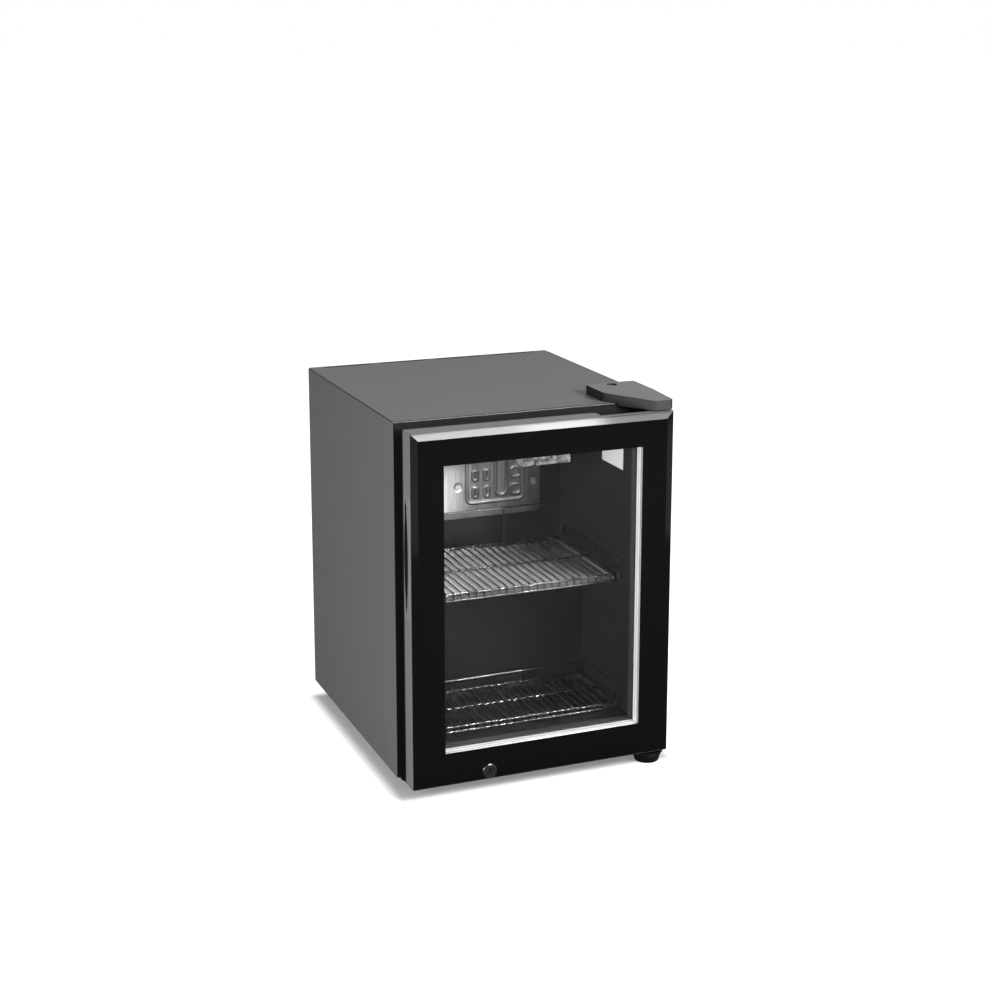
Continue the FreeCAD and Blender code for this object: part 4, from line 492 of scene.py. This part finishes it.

# The side's front flange and the top's cut edges and inside are painted black as shade
side_coat = textured_paint("powder_coat_side_grey", "#3d3d3d", painted_shade_edge=flange_shade_edge)
top_coat = textured_paint("powder_coat_top_grey", "#3e3e3e", painted_shade_below=top_cut)
# The rail's upper face is a lighter grey, a painted highlight along the hem; its faces below are
# painted black as shade
rail_coat = textured_paint("powder_coat_rail_painted_highlight_and_shade", "#5c5c5c", painted_shade_below=rail_cut)
# The seam's bead is painted near black as the shade in the seam's rebate
seam_coat = textured_paint("powder_coat_seam_painted_shade", "#121212")
frame_low = np.minimum(span("door_stile_left")[0], span("door_rail_bottom")[0])
frame_high = np.maximum(span("door_stile_right")[1], span("door_rail_top")[1])
# The last colour is the painted reflection on the frame's sides
lacquer = gloss_lacquer("gloss_black_lacquer", "#030303", frame_low, frame_high, "#484848")
liner_abs = satin_moulding("black_abs_liner", "#111111", rough=0.3, spec=0.15, depth=0.02 * mm)
trim_abs = satin_moulding("black_abs_trim", "#111111", rough=0.4, spec=0.2)
bead_pvc = satin_moulding("grey_pvc_bead", "#383838", rough=0.35, spec=0.4)
seal_pvc = satin_moulding("soft_black_pvc_seal", "#101010", rough=0.6, spec=0.2)
# Its upward faces are tinted grey: a painted sheen in place of their glossy reflection
cover_abs = satin_moulding("dark_abs_cover_painted_top_sheen", "#0c0c0c", rough=0.4, spec=0.15,
                           grain=0.8 * mm, painted_light=("Normal", 2, 0.75, 0.95, "#484848"))
# Its outer rim is tinted grey: a painted reflection, the same as on the door frame's sides
grip_abs = satin_moulding("black_abs_grip", "#0c0c0c", rough=0.38, spec=0.15,
                          painted_light=("Object", 0, grip_rim + 0.5 * mm, grip_rim + 0.3 * mm,
                                  "#525252"))
foot_nylon = satin_moulding("black_nylon_foot", "#050505", rough=0.4, spec=0.04)
# Its front-facing faces are tinted a darker grey: painted shade on the lip
tray_ps = satin_moulding("pale_polystyrene_tray", "#e8e8e8", rough=0.25, spec=0.6,
                         painted_light=("Normal", 1, -0.75, -0.95, "#767676"))
white_abs = satin_moulding("white_abs", "#dcdddd", rough=0.4)
label_film = satin_moulding("white_label_film", "#f4f4f4", rough=0.35, grain=3 * mm,
                            depth=0.01 * mm)
control_abs = satin_moulding("black_abs_controls", "#202022", rough=0.45)
pale_abs = satin_moulding("pale_grey_abs", "#c2c3c4", rough=0.45)
rocker_red = satin_moulding("gloss_red_rocker", "#a31712", rough=0.15, spec=0.5)
coil_enamel = satin_moulding("black_stove_enamel", "#1b1b1c", rough=0.3, spec=0.5)
wire_coat = satin_moulding("black_dip_coating", "#0e0e0e", rough=0.16, spec=0.7)
rubber = satin_moulding("black_rubber", "#19191a", rough=0.75, spec=0.2)
foam_cream = satin_moulding("cream_rigid_foam", "#d9cfa6", rough=0.8, spec=0.2, grain=2 * mm,
                            depth=0.3 * mm)
hinge_black = metal_finish("black_coated_steel", "#1e1e1e", 0.42)
zinc = zinc_sheet("zinc_coated_steel", "#a6a8aa", outer_back, vent_foot)
screw_zinc = metal_finish("bright_zinc_screws", "#c9cacb", 0.28)
evaporator_alu = rolled_sheet("rolled_bright_aluminium", "#bebebe", plate_foot_shade)
lock_black = satin_moulding("black_nickel_lock", "#060606", rough=0.14, spec=0.3, grain=3 * mm,
                            depth=0.01 * mm)
cam_zinc = metal_finish("zinc_coated_cam", "#b4b5b6", 0.35)
copper = metal_finish("bare_copper", "#c98a64", 0.3)
brass = metal_finish("nickelled_brass", "#d8c98e", 0.25)
glass = clear_glass("clear_float_glass")
spacer_alu = perforated_strip("punched_mill_aluminium")
lens_clear = ribbed_cover("ribbed_clear_acrylic", 1.6 * mm)

dress(["side_panel_left", "side_panel_right"], side_coat)
dress(["top_panel"], top_coat)
dress(["top_rail"], rail_coat)
dress(["door_rail_top", "door_rail_bottom", "door_stile_left", "door_stile_right"], lacquer)
dress(["inner_liner"], liner_abs)
dress(["front_trim"], trim_abs)
dress(["glazing_bead"], bead_pvc)
dress(["hinge_cover"], cover_abs)
dress(["door_grip"], grip_abs)
dress(["upper_shelf_tray"], tray_ps)
dress(["lamp_base", "lamp_board"], white_abs)
dress(["wall_label"], label_film)
dress(["control_housing", "supply_inlet", "terminal_box", "condenser_clips",
       "door_corner_keys", "evaporation_pan"], control_abs)
dress(["thermostat_body", "thermostat_knob", "drain_tube", "hinge_bushes"], pale_abs)
dress(["light_switch_rocker"], rocker_red)
dress(["condenser_coil", "compressor_shell"], coil_enamel)
dress(["upper_shelf_rack", "lower_shelf_rack"], wire_coat)
dress(["compressor_grommets"], rubber)
dress(["foam_body"], foam_cream)
dress(["top_hinge_plate", "lower_hinge_bracket", "lock_strike"], hinge_black)
dress(["top_hinge_screws"], seal_pvc)
dress(["rear_feet"], foot_nylon)
dress(["base_pan", "rear_cover", "divider_sheet"], zinc)
dress(["evaporator_screws", "rear_cover_screws", "underside_screws"], screw_zinc)
dress(["lock_plug"], lock_black)
dress(["lock_cam", "compressor_core"], cam_zinc)
dress(["filter_drier", "suction_line"], copper)
dress(["inlet_pins"], brass)
dress(["outer_pane", "inner_pane"], glass)

soften(["side_panel_left", "side_panel_right", "top_panel", "top_rail", "rear_cover"], 0.3 * mm)
soften(["door_rail_top", "door_rail_bottom", "door_stile_left", "door_stile_right"], 0.5 * mm, 8.0)
soften(["hinge_cover"], 0.5 * mm)
soften(["upper_shelf_rack", "lower_shelf_rack", "condenser_coil", "suction_line",
        "compressor_shell", "filter_drier", "evaporator_screws", "rear_cover_screws",
        "top_hinge_screws", "hinge_bushes", "thermostat_knob", "lock_cam", "inner_liner",
        "front_trim", "base_pan"], 0)
soften(["upper_shelf_tray", "lock_plug", "door_grip"], 0.4 * mm)


# Door seal, spacer, lamp and other surfaces


def seal_piece():
    """The door seal: a bellows profile with rounded folds carried round the door."""
    low, high = span("door_gasket")
    wide = 8.5 * mm
    deep = high[1] - low[1]
    fold = 1.8 * mm
    points = [(0, 0), (wide, 0), (wide, deep * 0.28), (wide - fold, deep * 0.36),
              (wide - fold, deep * 0.48), (wide, deep * 0.56), (wide, deep), (0, deep),
              (0, deep * 0.56), (fold, deep * 0.48), (fold, deep * 0.36), (0, deep * 0.28)]
    obj = ring_sweep("door_seal", rounded_profile(points[::-1], 1.2 * mm), low, high, low[1],
                     "door")
    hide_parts("door_gasket")
    dress([obj], seal_pvc)


def spacer_piece():
    """The bar between the panes: a near-square profile with rounded corners, punched."""
    low, high = span("pane_spacer")
    wide = 6.5 * mm
    deep = high[1] - low[1]
    points = [(0, 0), (0, deep), (wide, deep), (wide, 0)]
    obj = ring_sweep("glass_spacer", rounded_profile(points, 0.8 * mm), low, high, low[1],
                     "door")
    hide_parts("pane_spacer")
    dress([obj], spacer_alu)
    crisp(obj, 60)


def evaporator_piece():
    """The roll-bond plate: a height field with round channels raised along loops.

    The rise is the channel height times one minus the squared share of the channel's half
    width that a point lies from the nearest channel's middle line, and zero past it. A crease
    marks the fold, under which the sheet leans forward, and its two lower corners are round.
    Each screw sits in a shallow cone.
    """
    low, high = span("evaporator_plate")
    step = 0.9 * mm
    xs = np.linspace(low[0], high[0], int((high[0] - low[0]) / step))
    zs = np.linspace(low[2], high[2], int((high[2] - low[2]) / step))
    x, z = np.meshgrid(xs, zs, indexing="ij")
    half = (high[0] - low[0]) / 2
    height = high[2] - low[2]
    bank = 3 * mm
    fold_at = low[2] + 9.5 * mm
    screws_at = low[2] + 45.7 * mm
    stub = 7 * mm

    def rounded_outline(x0, x1, z0, z1, corner):
        """How far each point lies from the outline of a rectangle with round corners."""
        dx = np.abs(x - (x0 + x1) / 2) - ((x1 - x0) / 2 - corner)
        dz = np.abs(z - (z0 + z1) / 2) - ((z1 - z0) / 2 - corner)
        outside = np.hypot(np.maximum(dx, 0), np.maximum(dz, 0))
        return np.abs(outside + np.minimum(np.maximum(dx, dz), 0) - corner)

    # A big loop in the right half and, inside it, three pairs of short loops and a tall one.
    # Places across are shares of the half width, rows are shares of the height.
    bottom = low[2] + 21 * mm
    top = high[2] - 9 * mm
    away = rounded_outline(0, 0.766 * half, bottom, top, 7 * mm)
    for share, width in ((0.111, 9 * mm), (0.268, 9 * mm), (0.664, 18 * mm)):
        for row in (0.243, 0.409):
            centre = low[2] + row * height
            reach = (width - bank) / 2
            away = np.minimum(away, rounded_outline(share * half - reach, share * half + reach,
                                                    centre - stub, centre + stub,
                                                    min(reach, 5 * mm)))
    reach = 8.5 * mm
    away = np.minimum(away, rounded_outline(0.464 * half - reach, 0.464 * half + reach,
                                            bottom + 8 * mm, top, reach))
    rise = 1.4 * mm * np.clip(1 - (away / (bank / 2 + 0.7 * mm)) ** 2, 0, 1)
    lean = 0.5 * mm * np.clip((fold_at - z) / (fold_at - low[2]), 0, 1)
    fold = 0.6 * mm * np.exp(-((z - fold_at) / (0.9 * mm)) ** 2)
    # Shallow cones round the three screws
    sink = np.zeros_like(x)
    for share in (-0.9, -0.12, 0.9):
        off = np.hypot(x - share * half, z - screws_at)
        sink = np.maximum(sink, 0.9 * mm * np.clip((6.5 * mm - off) / (2.5 * mm), 0, 1))
    corner = 10 * mm
    drop = np.clip(low[2] + corner - z, 0, corner)
    inset = corner - np.sqrt(corner ** 2 - drop ** 2)
    grid = np.stack([np.clip(x, low[0] + inset, high[0] - inset),
                     low[1] + 3 * mm + sink + fold - np.maximum(rise, lean), z], -1)
    obj = grid_object("roll_bond_plate", grid[::-1], "cabinet")
    wall = obj.modifiers.new("wall", "SOLIDIFY")
    wall.thickness = 1.5 * mm
    wall.offset = -1
    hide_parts("evaporator_plate")
    dress([obj], evaporator_alu)


def lens_piece():
    """The lamp cover: a round-edged trough with ribs across it, and a flat cap at each end.

    A rib draws the outline in by its depth times half of one minus the cosine of the place.
    """
    low, high = span("lamp_lens")
    size = high - low
    rib = 3.2 * mm
    count = int(size[0] / rib)
    xs = np.linspace(0, 1, count * 8 + 1)
    wave = 0.35 * mm * (0.5 - 0.5 * np.cos(2 * math.pi * xs * count))
    profile = rounded_profile([(0, size[2]), (0, 0), (size[1], 0), (size[1], size[2])], 5 * mm, 6)
    shrink = wave[:, None]
    middle = size[1] / 2
    grid = np.zeros((len(xs), len(profile), 3))
    grid[:, :, 0] = low[0] + xs[:, None] * size[0]
    grid[:, :, 1] = low[1] + profile[None, :, 0] + np.sign(middle - profile[None, :, 0]) * shrink
    grid[:, :, 2] = low[2] + profile[None, :, 1] + shrink * (profile[None, :, 1] < size[2] / 2)
    obj = grid_object("lamp_cover_ribbed", grid, "cabinet", close_columns=True)
    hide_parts("lamp_lens")
    dress([obj], lens_clear)
    for x, right in ((low[0], False), (high[0], True)):
        disc = np.zeros((2, len(profile), 3))
        disc[:, :, 0] = x
        disc[0, :, 1:] = low[1:] + profile
        disc[1, :, 1:] = low[1:] + size[1:] / 2
        end = grid_object("lamp_cover_end_%d" % right, disc if right else disc[::-1], "cabinet",
                          close_columns=True)
        dress([end], lens_clear)


def foot_piece(name, node, body):
    """A levelling foot: a turned pad with a rounded tread, a groove and a rolled rim."""
    low, high = span(node)
    centre = (low + high) / 2
    rim = (high[0] - low[0]) / 2
    top = 15 * mm
    tread = 16.5 * mm
    profile = [(0, 0), (tread - 1.5 * mm, 0), (tread - 0.4 * mm, 0.4 * mm), (tread, 1.5 * mm),
               (rim - 2.2 * mm, top - 4.4 * mm), (rim - 2.6 * mm, top - 3.8 * mm),
               (rim - 2.4 * mm, top - 2.8 * mm), (rim - 0.8 * mm, top - 2.4 * mm),
               (rim, top - 1.8 * mm), (rim, top - 0.8 * mm), (rim - 0.8 * mm, top),
               (3.4 * mm, top), (3 * mm, top + 0.4 * mm), (3 * mm, high[2]), (0, high[2])]
    obj = lathe(name, profile, (centre[0], centre[1], 0), "z", body)
    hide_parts(node)
    dress([obj], foot_nylon)


def seam_piece(name, side):
    """The folded seam where a side panel meets the top: an oval bead along the edge.

    Across, it is an ellipse, and the ring at each end is gathered to a point.
    """
    low, high = span("side_panel_right")
    start = span("top_panel")[0][1]
    middle_x, half_wide = high[0] - 0.62 * mm, 0.58 * mm
    middle_z, half_tall = high[2] + 0.55 * mm, 0.8 * mm
    turn = np.linspace(0, 2 * math.pi, 24, endpoint=False)
    ys = np.linspace(start, high[1] - 0.3 * mm, 40)
    grid = np.zeros((len(ys), len(turn), 3))
    grid[:, :, 0] = side * (middle_x + half_wide * np.cos(turn))
    grid[:, :, 1] = ys[:, None]
    grid[:, :, 2] = middle_z + half_tall * np.sin(turn)
    grid[0, :, [0, 2]] = grid[0, :, [0, 2]].mean(axis=1, keepdims=True)
    grid[-1, :, [0, 2]] = grid[-1, :, [0, 2]].mean(axis=1, keepdims=True)
    obj = grid_object(name, grid if side < 0 else grid[:, ::-1], "cabinet", close_columns=True)
    # The bead's near black is painted shade in the seam
    dress([obj], seam_coat)


def gauze_piece():
    """The black gauze under the vents: a flat strip with an oval edge and a woven face.

    Across, it is an ellipse; along, its face rises and falls with the sine of the place in both
    directions, once in each mesh.
    """
    low, high = span("top_panel")
    reach = high[0] - 12 * mm
    middle_y, half_wide = high[1] - 5.6 * mm, 4.6 * mm
    middle_z, half_thick = high[2] - 1.45 * mm, 0.22 * mm
    turn = np.linspace(0, 2 * math.pi, 48, endpoint=False)
    xs = np.linspace(-reach, reach, 600)
    x, t = np.meshgrid(xs, turn, indexing="ij")
    weave = np.sin(x * 2 * math.pi / (2.2 * mm)) * np.sin(6 * t) * np.abs(np.sin(t))
    grid = np.zeros(x.shape + (3,))
    grid[:, :, 0] = x
    grid[:, :, 1] = middle_y + half_wide * np.cos(t)
    grid[:, :, 2] = middle_z + half_thick * np.sin(t) + 0.06 * mm * weave
    for end in (0, -1):
        grid[end, :, 1:] = (middle_y, middle_z)
    obj = grid_object("vent_gauze", grid, "cabinet", close_columns=True)
    dress([obj], seal_pvc)


def lock_head_piece():
    """The lock's fixed face: a domed ring with a rolled rim, its barrel and its nut."""
    low, high = span("lock_barrel")
    plug_low, plug_high = span("lock_plug")
    centre = (plug_low + plug_high) / 2
    front = low[1]
    head = 9.8 * mm
    bore = (plug_high[0] - plug_low[0]) / 2 + 0.05 * mm
    face = 2 * mm
    barrel = 7.5 * mm
    nut = 3 * mm
    nut_rim = 10 * mm
    depth = high[1] - front
    profile = [(bore, 0.6 * mm), (bore + 0.3 * mm, 0.2 * mm), (bore + 0.8 * mm, 0.1 * mm),
               (head - 1.6 * mm, 0), (head - 0.6 * mm, 0.3 * mm), (head, 1 * mm), (head, face),
               (barrel, face), (barrel, depth - nut), (nut_rim, depth - nut),
               (nut_rim, depth), (bore, depth), (bore, 0.6 * mm)]
    obj = lathe("lock_face", profile, (centre[0], front, centre[2]), "y", "door")
    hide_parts("lock_barrel")
    dress([obj], lock_black)


seal_piece()
spacer_piece()
evaporator_piece()
lens_piece()
foot_piece("levelling_foot_right", "front_foot_right", "right_foot")
foot_piece("levelling_foot_left", "front_foot_left", "left_foot")
lock_head_piece()
seam_piece("folded_seam_left", -1)
seam_piece("folded_seam_right", 1)
gauze_piece()


# Floor, light and camera


def seen_by_eye(tree, mirrored=0.0):
    """One for camera and transmission rays, mirrored for glossy ones, zero for the others."""
    path = add(tree, "LightPath").outputs
    glossy = add(tree, "Math", {0: path["Is Glossy Ray"], 1: mirrored}, operation="MULTIPLY")
    seen = add(tree, "Math", {0: path["Is Camera Ray"], 1: path["Is Transmission Ray"]},
               operation="MAXIMUM")
    return add(tree, "Math", {0: seen, 1: glossy}, operation="MAXIMUM")


def paper_sweep():
    """A white paper floor that keeps the fridge's shadow and runs out to plain white.

    The lift to white grows with the distance outside the rectangle that the fridge stands on, so
    the floor close round the fridge stays darker: a painted shadow round its footprint, on top of
    the shadow that the lamps cast.
    """
    size = 30.0
    mesh = bpy.data.meshes.new("paper_floor")
    mesh.from_pydata([(-size, -size, 0), (size, -size, 0), (size, size, 0), (-size, size, 0)], [],
                     [(0, 1, 2, 3)])
    floor = bpy.data.objects.new("paper_floor", mesh)
    scene.collection.objects.link(floor)
    material, tree, bsdf = shader("white_paper", Roughness=0.9, Specular_IOR_Level=0.1,
                                  Emission_Color=linear("#ffffff"))
    where = add(tree, "TexCoord").outputs["Object"]
    cloud = add(tree, "TexNoise", {"Vector": where, "Scale": 1 / (400 * mm)})
    tone = add(tree, "Mix", {0: cloud, 6: linear("#888888"), 7: linear("#8e8e8e")},
               data_type="RGBA").outputs[2]
    off = add(tree, "VectorMath", {0: where}, operation="ABSOLUTE")
    off = add(tree, "VectorMath", {0: off, 1: shadow_reach}, operation="SUBTRACT")
    off = add(tree, "VectorMath", {0: off, 1: (0, 0, 0)}, operation="MAXIMUM")
    away = add(tree, "VectorMath", {0: off}, operation="LENGTH").outputs["Value"]
    # Painted shadow: less lift close round the fridge
    lift = add(tree, "MapRange", {"Value": away, "From Min": -4 * mm, "From Max": 24 * mm,
                                  "To Min": floor_lift_near, "To Max": 1.0},
               interpolation_type="SMOOTHSTEP")
    lift = add(tree, "Math", {0: lift, 1: seen_by_eye(tree)}, operation="MULTIPLY")
    fill(tree, bsdf, {"Base Color": tone, "Emission Strength": lift})
    dress([floor], material)


def softbox(name, place_at, target, width, height, power, gloss_only):
    """A rectangular lamp turned to a target; gloss_only lamps show in reflections alone."""
    lamp = bpy.data.lights.new(name, "AREA")
    lamp.shape = "RECTANGLE"
    lamp.size = width
    lamp.size_y = height
    lamp.energy = power
    obj = bpy.data.objects.new(name, lamp)
    scene.collection.objects.link(obj)
    obj.rotation_euler = (Vector(target) - Vector(place_at)).to_track_quat("-Z", "Y").to_euler()
    obj.location = place_at
    obj.visible_camera = False
    obj.visible_diffuse = not gloss_only


def studio_world():
    """White where it is seen, and a plain even light on everything else."""
    world = bpy.data.worlds.new("studio")
    scene.world = world
    world.use_nodes = True
    tree = world.node_tree
    tree.nodes.clear()
    strength = add(tree, "MapRange", {"Value": seen_by_eye(tree, 0.55), "To Min": world_light,
                                      "To Max": 1.0})
    back = add(tree, "Background", {"Color": linear("#ffffff"), "Strength": strength})
    add(tree, "OutputWorld", {"Surface": back})


def photo_camera():
    """A 65 mm lens from the front left and a little above, as in the photo."""
    camera = bpy.data.cameras.new("camera")
    camera.lens = 65.05
    camera.sensor_width = 36.0
    camera.shift_y = -0.10
    obj = bpy.data.objects.new("camera", camera)
    obj.location = (-878.7 * mm, -2224.9 * mm, 987.9 * mm)
    obj.rotation_euler = (math.radians(90 - 12.235), 0, math.radians(-21.853))
    scene.collection.objects.link(obj)
    scene.camera = obj


# The lift nearest the fridge sets how dark its painted shadow is; shadow_reach is the rectangle it
# runs out from
floor_lift_near = 0.12
shadow_reach = (184 * mm, 190 * mm, 0)
world_light = 0.25

# Each lamp: name, place, target, width, height, watts, shown in reflections alone
lamps = (
    ("overhead", (-0.2, -0.1, 2.6), (0, 0, 0.4), 1.8, 1.8, 26, False),
    ("front_left", (-2.1, -1.7, 1.35), (0, 0, 0.25), 1.0, 1.0, 40, False),
    ("low_left", (-1.9, -1.3, 0.3), (0.1, 0, 0.35), 0.7, 0.45, 88, False),
    ("front_right_high", (0.9, -1.9, 1.5), (0, -0.1, 0.25), 0.7, 0.7, 150, False),
    ("bevel_strip_left", (0.72, -2.65, 1.06), (0, -0.2, 0.45), 0.95, 0.3, 290, True),
    ("bevel_strip_right", (1.42, -2.65, 1.06), (0, -0.2, 0.45), 0.8, 0.3, 100, True),
    ("left_card", (-0.334, -1.248, 0.125), (-0.175, -0.21, 0.3), 0.3, 0.22, 1.4, True),
    ("right_card", (1.042, -0.8, 0.12), (0.175, -0.21, 0.3), 0.3, 0.22, 1.1, True),
)

paper_sweep()
studio_world()
for lamp_row in lamps:
    softbox(*lamp_row)
photo_camera()

scene.view_settings.view_transform = "Standard"
